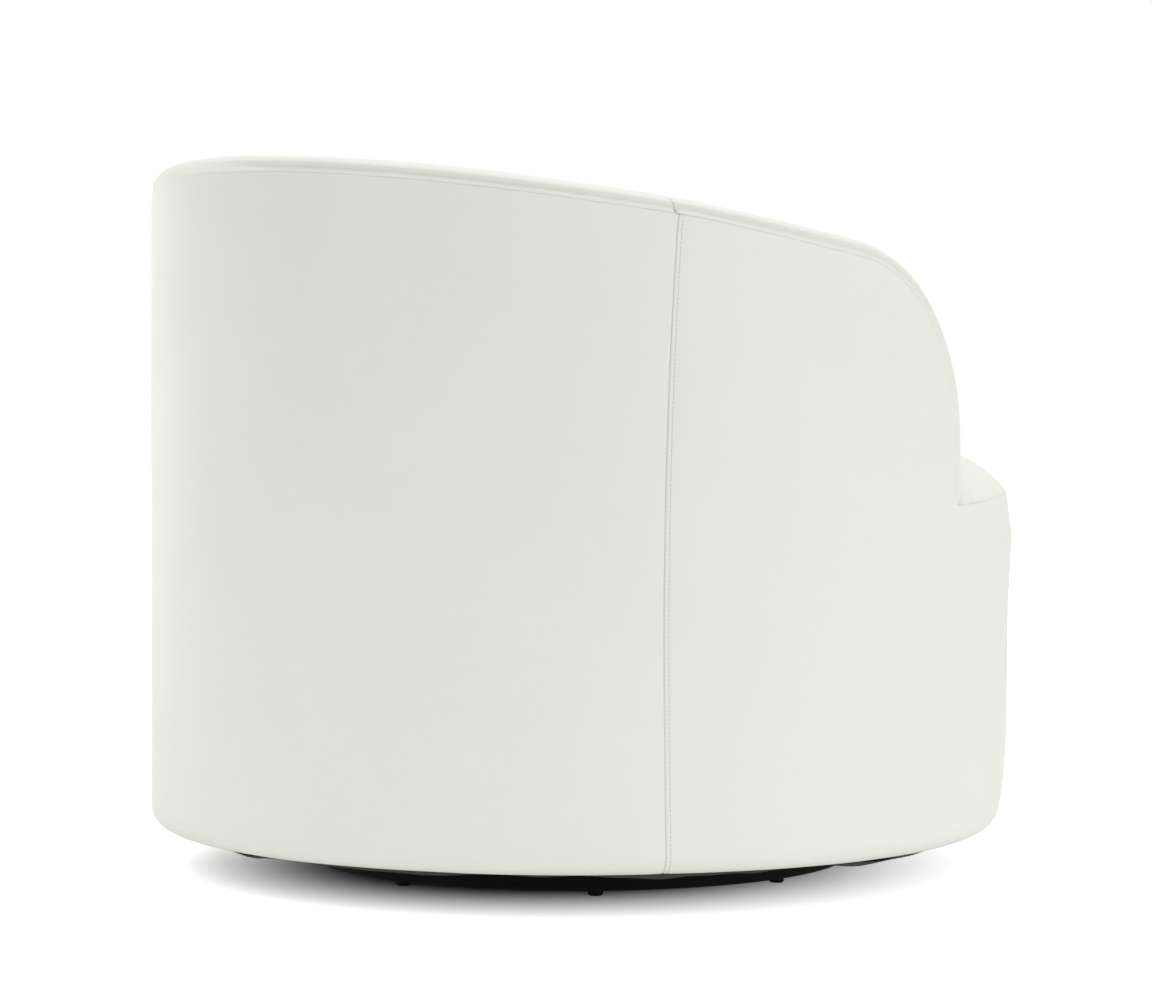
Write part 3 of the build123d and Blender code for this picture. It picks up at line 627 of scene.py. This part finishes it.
def finishOuter(name, columns, distances, seed, stitched, column):
    a, z, inset = (np.array([c[k] for c in columns]) for k in range(3))
    points = drumPoint(a, z, inset)
    sample = (column, outer["sampleRow"])
    facing = (sample, points[sample] * np.array([1, 1, 0]))
    return finishCover(name, outer, points, facing, distances, seed, [c[3] for c in columns], stitched)


backTop = outerTop(False)
frontTop = outerTop(True)
lowSeam = seamRun(form["foot"] + form["footRound"])
backSeam = seamCrossing(backTop)
outerHalf = carryOn(seamSteps, backSeam + sewnEdge["lap"], outer["spacing"])
backColumns = []
for d in outerHalf:
    q = backSeam + sewnEdge["lap"] - d
    blend = min(d / outer["footBlend"], 1)
    footA = (lowSeam - sewnEdge["lap"] + d) * (1 - blend) + onLine(backTop, q, "a") * blend
    backColumns.append(outerColumn(backTop, q, d, footA))
# the right half mirrors the left one
mirrored = [(2 * math.pi * drumRadius - c[0], *c[1:]) for c in reversed(backColumns[:-1])]
outerBack = finishOuter(
    "outerBackPanel", backColumns + mirrored, bothWays(outerHalf), 1.3, False, len(backColumns) // 2)[0]

# the front panel's lines fan out under the arm front, then drop straight from the apron seam
frontSeam = seamCrossing(frontTop)
frontEnd = float(frontTop["q"][-1])
fanRun = drumRadius * outer["fanTurn"]
fanStart = stationAt(frontTop, fanRun)
fanMiddle, fanCorner, fanEnd = (float(frontTop["q"][np.argmax(past)]) for past in (
    frontTop["z"] < outer["fanLevel"], frontTop["z"] < outer["apronNotch"] + 0.002,
    frontTop["a"] < noseRun + outer["fanEndFoot"]))
frontSteps = carryOn(seamSteps, fanStart - frontSeam, outer["spacing"])
frontSteps = carryOn(frontSteps, fanEnd - frontSeam, outer["noseSpacing"])
frontSteps = carryOn(frontSteps, frontEnd - frontSeam + sewnEdge["lap"], outer["spacing"])
knotsQ = [frontSeam, fanStart, fanMiddle, fanCorner, fanEnd, frontEnd]
knotsA = [lowSeam, fanRun, noseRun + outer["fanMiddleFoot"], noseRun + outer["fanCornerFoot"],
          noseRun + outer["fanEndFoot"], 0.0]
evenQ = np.arange(frontSeam, frontEnd, 0.001)
evenA = soften(np.interp(evenQ, knotsQ, knotsA), outer["fanSoft"])
frontColumns = []
for d in frontSteps[:-1]:
    q = frontSeam - sewnEdge["lap"] + d
    footA = float(np.interp(q, evenQ, evenA)) + max(frontSeam - q, 0)
    frontColumns.append(outerColumn(frontTop, q, d, footA))
middle = outerColumn(frontTop, frontEnd, frontSteps[-1], 0.0)
frontColumns.append((middle[0] * 0, *middle[1:]))
mirrored = [(-c[0], *c[1:]) for c in reversed(frontColumns[:-1])]
outerFront, outerFrontGrid, outerFrontNormal = finishOuter(
    "outerFrontPanel", frontColumns + mirrored, bothWays(frontSteps), 6.2, True, len(frontColumns) - 1)
print("outer panels laid:", len(outerBack.data.vertices), len(outerFront.data.vertices))

# tight seat: crowned, tucked down against the wall, sewn to the apron along its front
seat = {
    "centre": (0.0, -0.170),
    "crown": 0.432,
    "frontFall": 0.053,
    "fallDepth": 0.40,
    "tuck": 0.030,
    "tuckReach": 0.024,
    "frontTuck": 0.08,
    "rearFrom": 0.06,
    "intoWall": 0.004,
    "deepest": 0.01,
    "notchIn": 0.0028,
    "notchFrom": 0.012,
    "notchOver": 0.03,
    "notchTuck": 0.008,
    "notchReach": 0.025,
    "cornerSoft": 0.022,
    "firstRun": 0.02,
    "lastRun": 0.45,
    "runStep": 0.004,
    "halvings": 14,
    "half": 80,
    "trialHalf": 22,
    "pressure": 3.0,
    "cap": 0.010,
    "smoothing": 3,
    "seamDip": 0.35,
    # painted shade at the front seam and at the tuck into the wall
    "seamShade": 0.006,
    "tuckShade": 0.6,
    "tuckStart": 0.4,
    "pucker": 0.0012,
    "puckerCount": 11,
    "puckerAt": 0.018,
    "puckerWide": 0.014,
    "waves": 0.0006,
    "waveSize": 0.13,
    "thickness": 0.0018,
    "edgeSteps": [0.0, 0.0003, 0.0006, 0.0009, 0.0013, 0.0018, 0.0025, 0.0040, 0.0065, 0.0095, 0.013,
                  0.017, 0.022],
}


def wallDistance(x, y):
    # distance from the wall and the arm fronts, positive over the seat
    r = np.hypot(x, y)
    turn = np.arctan2(np.abs(x), -y)
    ring = form["hip"] - np.hypot(x, y + form["hipForward"])
    arm = r * np.sin(np.clip(noseAngle - turn, -math.pi / 2, math.pi / 2))
    return (ring + arm + np.sqrt((ring - arm) ** 2 + seat["cornerSoft"] ** 2)) / 2


def seatSeam(turn):
    # level of the seam along the seat's front
    return apronTop(np.clip(turn * drumRadius, -noseRun, noseRun))


def seatFrontEdge(x, y):
    turn = np.arctan2(x, -y)
    edge = drumRadius + bulgeOf(turn, seatSeam(turn))
    return edge - seat["notchIn"] * ease((np.abs(turn) - noseAngle + seat["notchFrom"]) / seat["notchOver"])


def seatRoom(x, y):
    # the edge is tucked into the wall, deeper beside the notch where the arm front is round
    front = seatFrontEdge(x, y) - np.hypot(x, y)
    tucked = seat["intoWall"] + seat["notchTuck"] * np.exp(-np.abs(front) / seat["notchReach"])
    return np.minimum(wallDistance(x, y) + tucked, front)


def seatReach(directions):
    # how far the seat runs from its centre in each direction
    cx, cy = seat["centre"]
    reach = np.zeros(len(directions))
    inside = np.ones(len(directions), bool)
    step = seat["runStep"]
    for run in np.arange(seat["firstRun"], seat["lastRun"], step):
        inside &= seatRoom(cx + directions[:, 0] * run, cy + directions[:, 1] * run) > 0
        reach = np.where(inside, run, reach)
    for halving in range(seat["halvings"]):
        step /= 2
        run = reach + step
        room = seatRoom(cx + directions[:, 0] * run, cy + directions[:, 1] * run)
        reach = np.where(room > 0, run, reach)
    return reach


def seatGrid(half, edgeSteps):
    # rings of a square drawn out to the outline of the seat
    line = np.arange(-half, half + 1)
    gx, gy = np.meshgrid(line, line)
    ring = np.maximum(np.abs(gx), np.abs(gy))
    flat = np.abs(gx) >= np.abs(gy)
    angle = np.where(flat, math.pi / 4 * gy / np.where(gx == 0, 1, gx) + np.where(gx < 0, math.pi, 0),
                     math.pi / 2 - math.pi / 4 * gx / np.where(gy == 0, 1, gy) + np.where(gy < 0, math.pi, 0))
    direction = np.stack([np.cos(angle), np.sin(angle)], axis=-1)
    reach = seatReach(direction.reshape(-1, 2)).reshape(ring.shape)
    count = len(edgeSteps)
    if count:
        fromEdge = np.interp(half - ring, np.arange(count), edgeSteps)
        inner = half - count + 1
        share = np.where(ring >= inner, 1 - fromEdge / reach, (1 - edgeSteps[-1] / reach) * ring / inner)
    else:
        share = ring / half
    share = np.where(ring == 0, 0, share)
    x = seat["centre"][0] + direction[:, :, 0] * reach * share
    y = seat["centre"][1] + direction[:, :, 1] * reach * share
    return x, y, share


def seatHeight(x, y):
    low = seatSeam(np.arctan2(x, -y))
    fall = np.maximum(seatFrontEdge(x, y) - np.hypot(x, y), 0)
    full = (seat["crown"] - low) / (1 - math.exp(-seat["fallDepth"] / seat["frontFall"]))
    z = low + full * (1 - np.exp(-fall / seat["frontFall"]))
    fromWall = wallDistance(x, y)
    near = np.clip(fromWall / seat["tuckReach"], 0, 1)
    rear = ease(fall / seat["rearFrom"])
    behind = seat["frontTuck"] + (1 - seat["frontTuck"]) * rear
    tuck = seat["tuck"] * (1 - np.sqrt(1 - (1 - near) ** 2)) * behind
    deep = np.clip(-fromWall, 0, seat["deepest"])
    return z - tuck - 2 * deep * rear


gx, gy, share = seatGrid(seat["half"], seat["edgeSteps"])
seatPoints = np.stack([gx, gy, seatHeight(gx, gy)], axis=-1)
seatNormal, seatTurned = gridNormals(seatPoints, (seat["half"], seat["half"]), (0, 0, 1))
cx, cy, cshare = seatGrid(seat["trialHalf"], [])
coarse = np.stack([cx, cy, seatHeight(cx, cy)], axis=-1)
edge = np.zeros(cshare.shape, bool)
edge[:2, :] = edge[-2:, :] = edge[:, :2] = edge[:, -2:] = True
moved = swell(coarse, edge, seat["pressure"], seat["cap"])
# soften the folds of the coarse trial
for smoothing in range(seat["smoothing"]):
    around = moved[:-2, 1:-1] + moved[2:, 1:-1] + moved[1:-1, :-2] + moved[1:-1, 2:]
    moved[1:-1, 1:-1] = moved[1:-1, 1:-1] / 2 + around / 8
# carry the swelling over to the fine grid by ring and side
half = seat["trialHalf"]
line = np.arange(-seat["half"], seat["half"] + 1)
bx, by = np.meshgrid(line, line)
ring = np.maximum(np.maximum(np.abs(bx), np.abs(by)), 1)
u = bx / ring * share * half + half
v = by / ring * share * half + half
iu, iv = np.clip(u.astype(int), 0, 2 * half - 1), np.clip(v.astype(int), 0, 2 * half - 1)
fu, fv = (u - iu)[:, :, None], (v - iv)[:, :, None]
rise = (moved[iv, iu] * (1 - fu) * (1 - fv) + moved[iv, iu + 1] * fu * (1 - fv)
        + moved[iv + 1, iu] * (1 - fu) * fv + moved[iv + 1, iu + 1] * fu * fv)
seatPoints = seatPoints + rise
print("seat swelled by up to", round(float(np.abs(moved[:, :, 2]).max()), 4))
fromFront = np.maximum(seatFrontEdge(gx, gy) - np.hypot(gx, gy), 0)
frontDip = seat["seamDip"] * np.interp(fromFront, sewnEdge["away"], sewnEdge["deep"])
# small puckers round the notch beside each arm
notchX, notchY = np.abs(gx) - drumRadius * math.sin(noseAngle), gy + form["armReach"]
ringOff = (np.hypot(notchX, notchY) - seat["puckerAt"]) / seat["puckerWide"]
puckers = seat["pucker"] * np.sin(np.arctan2(notchX, notchY) * seat["puckerCount"]) * np.exp(-ringOff ** 2)
lift = seat["waves"] * softWaves(seatPoints, seat["waveSize"], 2.2) + puckers - frontDip
seatPoints = seatPoints + seatNormal * lift[:, :, None]
seatCover = layGrid("seatCover", seatPoints, seatTurned)
# painted shade along the sewn front and where the seat tucks into the wall
fromWall = wallDistance(gx, gy)
tuckShadeShare = np.clip(seat["tuckStart"] - fromWall / seat["intoWall"], 0, 1)
tuckShadeShare = tuckShadeShare * (fromWall < seat["intoWall"])
seamShadeShare = np.clip(frontDip / seat["seamShade"], 0, 1)
paintShade(seatCover, np.maximum(seamShadeShare, seat["tuckShade"] * tuckShadeShare))
thicken(seatCover, seat["thickness"])
print("seat laid:", len(seatCover.data.vertices))

# top stitches in front of both side seams, outside, over the rim and inside
stitch = {"pitch": 0.0037, "length": 0.0029, "width": 0.00075, "height": 0.00055, "lift": 0.00005,
          "blunt": 0.7, "topRow": 6, "overCrown": 5, "footRows": 6}
stitchColumn = seamSteps.index(sewnEdge["stitchLine"])


def modelStitch():
    bpy.ops.object.select_all(action="DESELECT")
    bpy.ops.mesh.primitive_uv_sphere_add(segments=6, ring_count=6, radius=0.5)
    thread = bpy.context.object
    points = np.array([v.co[:] for v in thread.data.vertices])
    faces = [tuple(p.vertices) for p in thread.data.polygons]
    points = np.sign(points) * np.abs(points) ** np.array([1, 1, stitch["blunt"]])
    points[:, 2] /= np.abs(points[:, 2]).max() * 2
    bpy.data.objects.remove(thread)
    return points * np.array([stitch["width"], stitch["height"], stitch["length"]]), faces


stitchPoints, stitchFaces = modelStitch()


def pointAt(q, run, line):
    return np.array([np.interp(q, run, line[:, k]) for k in range(3)])


def sewStitches(name, lines):
    points, faces = [], []
    for line, outward in lines:
        run = np.concatenate([[0], np.cumsum(np.linalg.norm(np.diff(line, axis=0), axis=1))])
        for q in np.arange(stitch["pitch"], run[-1] - stitch["pitch"], stitch["pitch"]):
            here = pointAt(q, run, line)
            way = pointAt(q + 0.001, run, line) - here
            way /= np.linalg.norm(way)
            up = pointAt(q, run, outward)
            up -= way * (up @ way)
            up /= np.linalg.norm(up)
            side = np.cross(up, way)
            start = len(points) * len(stitchPoints)
            points.append(here + up * stitch["lift"] + stitchPoints @ np.array([side, up, way]))
            faces += [tuple(start + i for i in f) for f in stitchFaces]
    mesh = bpy.data.meshes.new(name)
    mesh.from_pydata(np.concatenate(points).tolist(), [], faces)
    piece = bpy.data.objects.new(name, mesh)
    bpy.context.scene.collection.objects.link(piece)
    pick(piece)
    editAll(bpy.ops.mesh.normals_make_consistent, inside=False)
    bpy.ops.object.shade_smooth()
    return piece


lastColumn = outerFrontGrid.shape[0] - 1 - stitchColumn
outsideRows = slice(stitch["topRow"], len(outer["topSteps"]) + outer["bodyRows"] + outer["roundRows"])
wallCount = outerCount + tub["crownRows"] + tub["rollRows"] + tub["faceRows"]
insideRows = slice(outerCount - stitch["overCrown"], wallCount - stitch["footRows"])
stitchPieces = []
for side, column, grid, normal in (("Left", stitchColumn, armLeftGrid, armLeftNormal),
                                   ("Right", lastColumn, armRightGrid, armRightNormal)):
    stitchPieces.append(sewStitches("sideStitches" + side, [
        (outerFrontGrid[column, outsideRows], outerFrontNormal[column, outsideRows]),
        (grid[stitchColumn, insideRows], normal[stitchColumn, insideRows])]))
print("stitches sewn:", len(stitchPieces[0].data.polygons), "faces a side")

# black cloth under the frame, sagging a little between its edges
cloth = {
    "inner": 0.216,
    "outer": 0.3875,
    "level": 0.0396,
    "sag": 0.0086,
    "slack": 0.72,
    "slackWaves": ((0.18, 9, 1.1), (0.10, 23, 2.4)),
    "hangFrom": 0.10,
    "hangPower": 0.8,
    "riseFrom": 0.7,
    "looseAt": (0.80, 2.47),
    "loose": 0.0042,
    "looseWide": 0.11,
    "ripple": 0.0007,
    "rippleCount": 41,
    "rippleWander": (3, 5),
    "rippleFade": 5,
    "turns": 300,
    "rows": 24,
    "thickness": 0.0006,
}


def dustCloth():
    turn = np.linspace(0, 2 * math.pi, cloth["turns"] + 1)
    share = np.linspace(0, 1, cloth["rows"] + 1)
    points = np.zeros((len(share), len(turn), 3))
    slack = cloth["slack"]
    for size, count, phase in cloth["slackWaves"]:
        slack = slack + size * np.sin(turn * count + phase)
    folded = np.minimum(turn, 2 * math.pi - turn)
    drop = sum(np.exp(-((folded - at) / cloth["looseWide"]) ** 2) for at in cloth["looseAt"])
    swing, times = cloth["rippleWander"]
    rippled = cloth["ripple"] * np.sin(turn * cloth["rippleCount"] + swing * np.sin(turn * times))
    for i, s in enumerate(share):
        r = cloth["outer"] + (cloth["inner"] - cloth["outer"]) * s
        rise = max(s - cloth["riseFrom"], 0) / (1 - cloth["riseFrom"])
        hang = min(s / cloth["hangFrom"], 1) ** cloth["hangPower"] * (1 - rise)
        sag = cloth["sag"] * slack * hang + cloth["loose"] * drop * (1 - s) ** 3
        ripple = rippled * math.exp(-s * cloth["rippleFade"])
        level = cloth["level"] - sag + ripple * (s > 0)
        points[i] = np.stack([r * np.sin(turn), -r * np.cos(turn), level], axis=1)
    piece = layGrid("dustCloth", points)
    editAll(bpy.ops.mesh.remove_doubles, threshold=0.00005)
    editAll(bpy.ops.mesh.normals_make_consistent, inside=False)
    thicken(piece, cloth["thickness"])
    return piece


dustCover = dustCloth()
print("dust cloth laid")

# shared effects: grain of the hide, and wear of the other pieces
hide = {"cells": 700.0, "warp": 160, "bend": 0.004, "edge": 3.0, "pebble": 0.75, "fine": (2600, 2.0),
        "patch": (7.0, 4.0, 0.55)}
wear = {"scale": 40.0, "scuffDetail": 6.0, "dust": (12.0, 5.0, 0.6), "pits": (900.0, 3.0)}


def feed(tree, node, values):
    # plain values go on the node's own sockets, and outputs of other nodes are linked
    for label, value in values.items():
        if isinstance(value, bpy.types.NodeSocket):
            tree.links.new(value, node.inputs[label])
        else:
            node.inputs[label].default_value = value


def addNode(tree, kind, values, **settings):
    node = tree.nodes.new("ShaderNode" + kind)
    for key, setting in settings.items():
        setattr(node, key, setting)
    feed(tree, node, values)
    return node.outputs


def mathNode(tree, operation, *terms):
    return addNode(tree, "Math", dict(enumerate(terms)), operation=operation)[0]


def mixParts(tree, first, second, share):
    # two heights mixed by a fixed share
    return mathNode(tree, "ADD", mathNode(tree, "MULTIPLY", first, share),
                    mathNode(tree, "MULTIPLY", second, 1 - share))


def noiseNode(tree, vector, scale, detail=3.0, rough=0.5):
    values = {"Vector": vector, "Scale": scale, "Detail": detail, "Roughness": rough}
    return addNode(tree, "TexNoise", values)["Fac"]


def newGroup(name, amount, value, outputs):
    tree = bpy.data.node_groups.new(name, "ShaderNodeTree")
    tree.interface.new_socket(name="Vector", in_out="INPUT", socket_type="NodeSocketVector")
    socket = tree.interface.new_socket(name=amount, in_out="INPUT", socket_type="NodeSocketFloat")
    socket.default_value = value
    for label in outputs:
        tree.interface.new_socket(name=label, in_out="OUTPUT", socket_type="NodeSocketFloat")
    return tree, tree.nodes.new("NodeGroupInput").outputs, tree.nodes.new("NodeGroupOutput")


def hideGrainGroup():
    # pebbled grain with fine pores, and slow patches of tone
    tree, given, put = newGroup("hideGrain", "Grain", hide["cells"], ("Height", "Patch", "Pore"))
    place = given["Vector"]
    warp = addNode(tree, "TexNoise", {"Scale": hide["warp"], "Vector": place})
    bend = addNode(tree, "Mix", {"Factor": hide["bend"], "A": place, "B": warp["Color"]},
                   data_type="VECTOR")
    cells = addNode(tree, "TexVoronoi", {"Vector": bend["Result"], "Scale": given["Grain"]},
                    feature="DISTANCE_TO_EDGE")
    flank = mathNode(tree, "MULTIPLY", cells["Distance"], hide["edge"])
    pebble = mathNode(tree, "MINIMUM", flank, 1.0)
    fine = noiseNode(tree, place, *hide["fine"])
    feed(tree, put, {"Height": mixParts(tree, pebble, fine, hide["pebble"]),
                     "Patch": noiseNode(tree, place, *hide["patch"]), "Pore": pebble})
    return tree


def handlingGroup():
    # dull scuffs and dust for painted, turned and sawn pieces
    tree, given, put = newGroup("handling", "Scale", wear["scale"], ("Scuff", "Dust", "Height"))
    place = given["Vector"]
    scuff = noiseNode(tree, place, given["Scale"], wear["scuffDetail"])
    feed(tree, put, {"Scuff": scuff, "Dust": noiseNode(tree, place, *wear["dust"]),
                     "Height": noiseNode(tree, place, *wear["pits"])})
    return tree


hideGrain = hideGrainGroup()
handling = handlingGroup()


def startMaterial(name):
    material = bpy.data.materials.new(name)
    material.use_nodes = True
    tree = material.node_tree
    place = addNode(tree, "TexCoord", {})["Object"]
    return material, tree, tree.nodes["Principled BSDF"], place


def useGroup(tree, group, vector, **values):
    return addNode(tree, "Group", {"Vector": vector, **values}, node_tree=group)


def mixColour(tree, factor, first, second):
    first, second = ((*c, 1) if isinstance(c, tuple) else c for c in (first, second))
    return addNode(tree, "Mix", {"Factor": factor, "A": first, "B": second}, data_type="RGBA")["Result"]


def mapRange(tree, value, low, high):
    return addNode(tree, "MapRange", {"Value": value, "To Min": low, "To Max": high})["Result"]


def bumpNode(tree, height, strength, distance):
    values = {"Height": height, "Strength": strength, "Distance": distance}
    return addNode(tree, "Bump", values)["Normal"]


# the darkest colour is painted shade, mixed in where the cover holds painted shade
leather = {"light": (0.800, 0.806, 0.742), "deep": (0.765, 0.771, 0.706), "paintedShade": (0.42, 0.41, 0.37),
           "rough": (0.50, 0.62), "bump": (0.10, 0.0004), "gloss": 0.40}


def whiteLeather():
    material, tree, shader, place = startMaterial("whiteLeather")
    grain = useGroup(tree, hideGrain, place, Grain=hide["cells"])
    tone = mixColour(tree, grain["Patch"], leather["light"], leather["deep"])
    # painted shade: seams, grooves and tucks turn toward the shade colour
    mark = addNode(tree, "Attribute", {}, attribute_name="paintedShade")
    feed(tree, shader, {
        "Base Color": mixColour(tree, mark["Fac"], tone, leather["paintedShade"]),
        "Roughness": mapRange(tree, grain["Patch"], *leather["rough"]),
        "Normal": bumpNode(tree, grain["Height"], *leather["bump"]),
        "Specular IOR Level": leather["gloss"]})
    return material


def plainFinish(name, first, second, roughLow, roughHigh, scale, metal=0.0, bump=0.1, distance=0.0002,
                gloss=0.5, roughBy="Dust"):
    material, tree, shader, place = startMaterial(name)
    worn = useGroup(tree, handling, place, Scale=scale)
    feed(tree, shader, {
        "Base Color": mixColour(tree, worn["Scuff"], first, second),
        "Roughness": mapRange(tree, worn[roughBy], roughLow, roughHigh),
        "Normal": bumpNode(tree, worn["Height"], bump, distance),
        "Metallic": metal,
        "Specular IOR Level": gloss})
    return material


weave = {"dustScale": 60.0, "share": 0.6, "rough": (0.8, 0.95), "bump": (0.4, 0.0003), "gloss": 0.2}


def wovenCloth(name, first, second, count):
    # plain weave of two crossing thread sets
    material, tree, shader, place = startMaterial(name)
    apart = addNode(tree, "SeparateXYZ", {"Vector": place})
    warp, weft = (mathNode(tree, "SINE", mathNode(tree, "MULTIPLY", apart[axis], count)) for axis in "XY")
    crossing = mathNode(tree, "MULTIPLY", warp, weft)
    height = mathNode(tree, "ADD", mathNode(tree, "MULTIPLY", crossing, 0.5), 0.5)
    worn = useGroup(tree, handling, place, Scale=weave["dustScale"])
    feed(tree, shader, {
        "Base Color": mixColour(tree, mixParts(tree, height, worn["Dust"], weave["share"]), first, second),
        "Roughness": mapRange(tree, worn["Dust"], *weave["rough"]),
        "Normal": bumpNode(tree, height, *weave["bump"]),
        "Specular IOR Level": weave["gloss"]})
    return material


whiteHide = whiteLeather()
thread = plainFinish("waxedThread", (0.60, 0.60, 0.545), (0.50, 0.50, 0.455), 0.45, 0.7, 300, bump=0.2,
                     distance=0.0001, roughBy="Scuff")
blackCambric = wovenCloth("blackCambric", (0.045, 0.045, 0.041), (0.070, 0.070, 0.064), 4200)
finishes = {
    "base_black": plainFinish("mattBlackPaint", (0.0022, 0.0022, 0.0022), (0.0042, 0.0042, 0.0042), 0.55,
                              0.72, 35, gloss=0.16),
    "glide_nylon": plainFinish("blackNylon", (0.004, 0.004, 0.004), (0.008, 0.008, 0.008), 0.45, 0.6, 120,
                               gloss=0.25),
    "retainer_nylon": plainFinish("naturalNylon", (0.62, 0.60, 0.52), (0.70, 0.68, 0.60), 0.40, 0.55, 120),
    "plate_black": plainFinish("blackPlate", (0.010, 0.010, 0.010), (0.018, 0.018, 0.018), 0.38, 0.55, 60),
    "steel": plainFinish("zincSteel", (0.55, 0.56, 0.57), (0.66, 0.66, 0.66), 0.28, 0.45, 150, metal=1.0),
    "spring_steel": plainFinish("springSteel", (0.30, 0.30, 0.31), (0.42, 0.42, 0.43), 0.30, 0.5, 150,
                                metal=1.0),
    "bush_brass": plainFinish("bushBrass", (0.72, 0.55, 0.25), (0.78, 0.62, 0.32), 0.25, 0.4, 150, metal=1.0),
    "plywood": plainFinish("plywood", (0.56, 0.42, 0.26), (0.66, 0.52, 0.34), 0.6, 0.8, 25, bump=0.2),
    "timber": plainFinish("beech", (0.55, 0.38, 0.22), (0.64, 0.47, 0.30), 0.55, 0.75, 30, bump=0.2),
    "hardboard": plainFinish("hardboard", (0.30, 0.20, 0.12), (0.36, 0.25, 0.16), 0.6, 0.8, 80, bump=0.2),
    "felt": wovenCloth("springFelt", (0.30, 0.30, 0.29), (0.42, 0.42, 0.40), 2500),
    "webbing": wovenCloth("juteWebbing", (0.20, 0.13, 0.07), (0.32, 0.22, 0.12), 1800),
}
print("finishes mixed:", len(finishes) + 3)

# every carried-over solid takes the finish of its slot
slotOf = {part["node"]: part["material_slot"] for part in frame["record"]["subparts"]}
for node, solid in frame["nodes"].items():
    finish = finishes.get(slotOf.get(node))
    if finish:
        solid.data.materials.clear()
        solid.data.materials.append(finish)

covers = [
    (armLeft, ("inner_arm_cover_left", "nose_foam_left")),
    (armRight, ("inner_arm_cover_right", "nose_foam_right")),
    (tubBack, ("inner_back_cover", "tub_foam")),
    (outerBack, ("outer_back_cover", "outer_wadding")),
    (outerFront, ("outer_front_cover", "hem_roll")),
    (seatCover, ("seat_cover", "seat_foam")),
]
for piece, nodes in covers:
    piece.data.materials.append(whiteHide)
    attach(piece, "chair")
    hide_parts(*nodes)
for piece in stitchPieces:
    piece.data.materials.append(thread)
    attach(piece, "chair")
dustCover.data.materials.append(blackCambric)
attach(dustCover, "chair")
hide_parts("dust_cover")

# pale floor with a painted contact shadow round the base, soft light all round and six lamps, each with its
# place, power, width and height
studio = {
    "floor": (0.90, 0.90, 0.90),
    "floorSize": 80,
    "floorRough": 0.9,
    "floorGlow": 0.75,
    # centre and reach of the painted contact shadow, where the floor's glow fades out
    "shadeCentre": (-0.009, 0.036),
    "shadeFrom": 0.200,
    "shadeTo": 0.391,
    "dome": 0.785,
    "aim": (0, 0, 0.35),
    "lamps": {
        "keyLamp": ((-1.9, -3.3, 0.9), 22.8, 2.4, 2.4),
        "backLamp": ((2.4, 2.6, 0.4), 20.7, 1.8, 1.8),
        "frontLamp": ((2.4, -2.6, 0.9), 1.7, 1.8, 1.8),
        "topLamp": ((-0.4, 0.0, 2.6), 15, 1.6, 1.6),
        "lowBackLamp": ((-0.5, 1.3, 0.07), 0.47, 1.2, 0.12),
        "floorLamp": ((0.0, 0.0, 0.003), 2.0, 1.9, 1.9),
    },
}


def layFloor():
    bpy.ops.object.select_all(action="DESELECT")
    bpy.ops.mesh.primitive_grid_add(x_subdivisions=8, y_subdivisions=8, size=studio["floorSize"])
    floor = bpy.context.object
    floor.name = "studioFloor"
    material, tree, shader, place = startMaterial("paleFloor")
    # camera-seen glow makes the floor white, fading out in a ring round the base: a painted contact shadow
    # laid over the real shade there
    path = addNode(tree, "LightPath", {})
    away = addNode(tree, "VectorMath", {0: place, 1: (*studio["shadeCentre"], 0)}, operation="DISTANCE")
    fade = addNode(tree, "MapRange", {
        "Value": away["Value"], "From Min": studio["shadeFrom"], "From Max": studio["shadeTo"],
        "To Max": studio["floorGlow"]}, interpolation_type="SMOOTHSTEP")
    feed(tree, shader, {
        "Base Color": (*studio["floor"], 1),
        "Roughness": studio["floorRough"],
        "Specular IOR Level": 0.0,
        "Emission Color": (1, 1, 1, 1),
        "Emission Strength": mathNode(tree, "MULTIPLY", path["Is Camera Ray"], fade["Result"])})
    floor.data.materials.append(material)


def lightWorld():
    world = bpy.data.worlds.new("studio")
    bpy.context.scene.world = world
    world.use_nodes = True
    tree = world.node_tree
    path = addNode(tree, "LightPath", {})
    seen = mathNode(tree, "MAXIMUM", path["Is Camera Ray"], path["Is Glossy Ray"])
    seen = mathNode(tree, "MAXIMUM", seen, path["Is Transmission Ray"])
    feed(tree, tree.nodes["Background"], {"Color": (1, 1, 1, 1),
                                          "Strength": mapRange(tree, seen, studio["dome"], 1.0)})


def hangLamp(name, place, power, wide, tall):
    bpy.ops.object.light_add(type="AREA", location=place)
    lamp = bpy.context.object
    lamp.name = name
    lamp.visible_camera = False
    lamp.data.energy = power
    lamp.data.shape = "RECTANGLE"
    lamp.data.size = wide
    lamp.data.size_y = tall
    lamp.rotation_euler = (Vector(studio["aim"]) - Vector(place)).to_track_quat("-Z", "Y").to_euler()


layFloor()
lightWorld()
for name, lamp in studio["lamps"].items():
    hangLamp(name, *lamp)

# level camera at the right side of the chair, at about seat height
view = {"place": (-3.0, 0.0035, 0.412), "lens": 94.9, "sensor": 36.0, "shiftY": -0.0513}
bpy.ops.object.camera_add(location=view["place"], rotation=(math.radians(90), 0, math.radians(-90)))
camera = bpy.context.object
camera.data.sensor_width = view["sensor"]
camera.data.lens = view["lens"]
camera.data.shift_y = view["shiftY"]
bpy.context.scene.camera = camera
bpy.context.scene.view_settings.view_transform = "Standard"
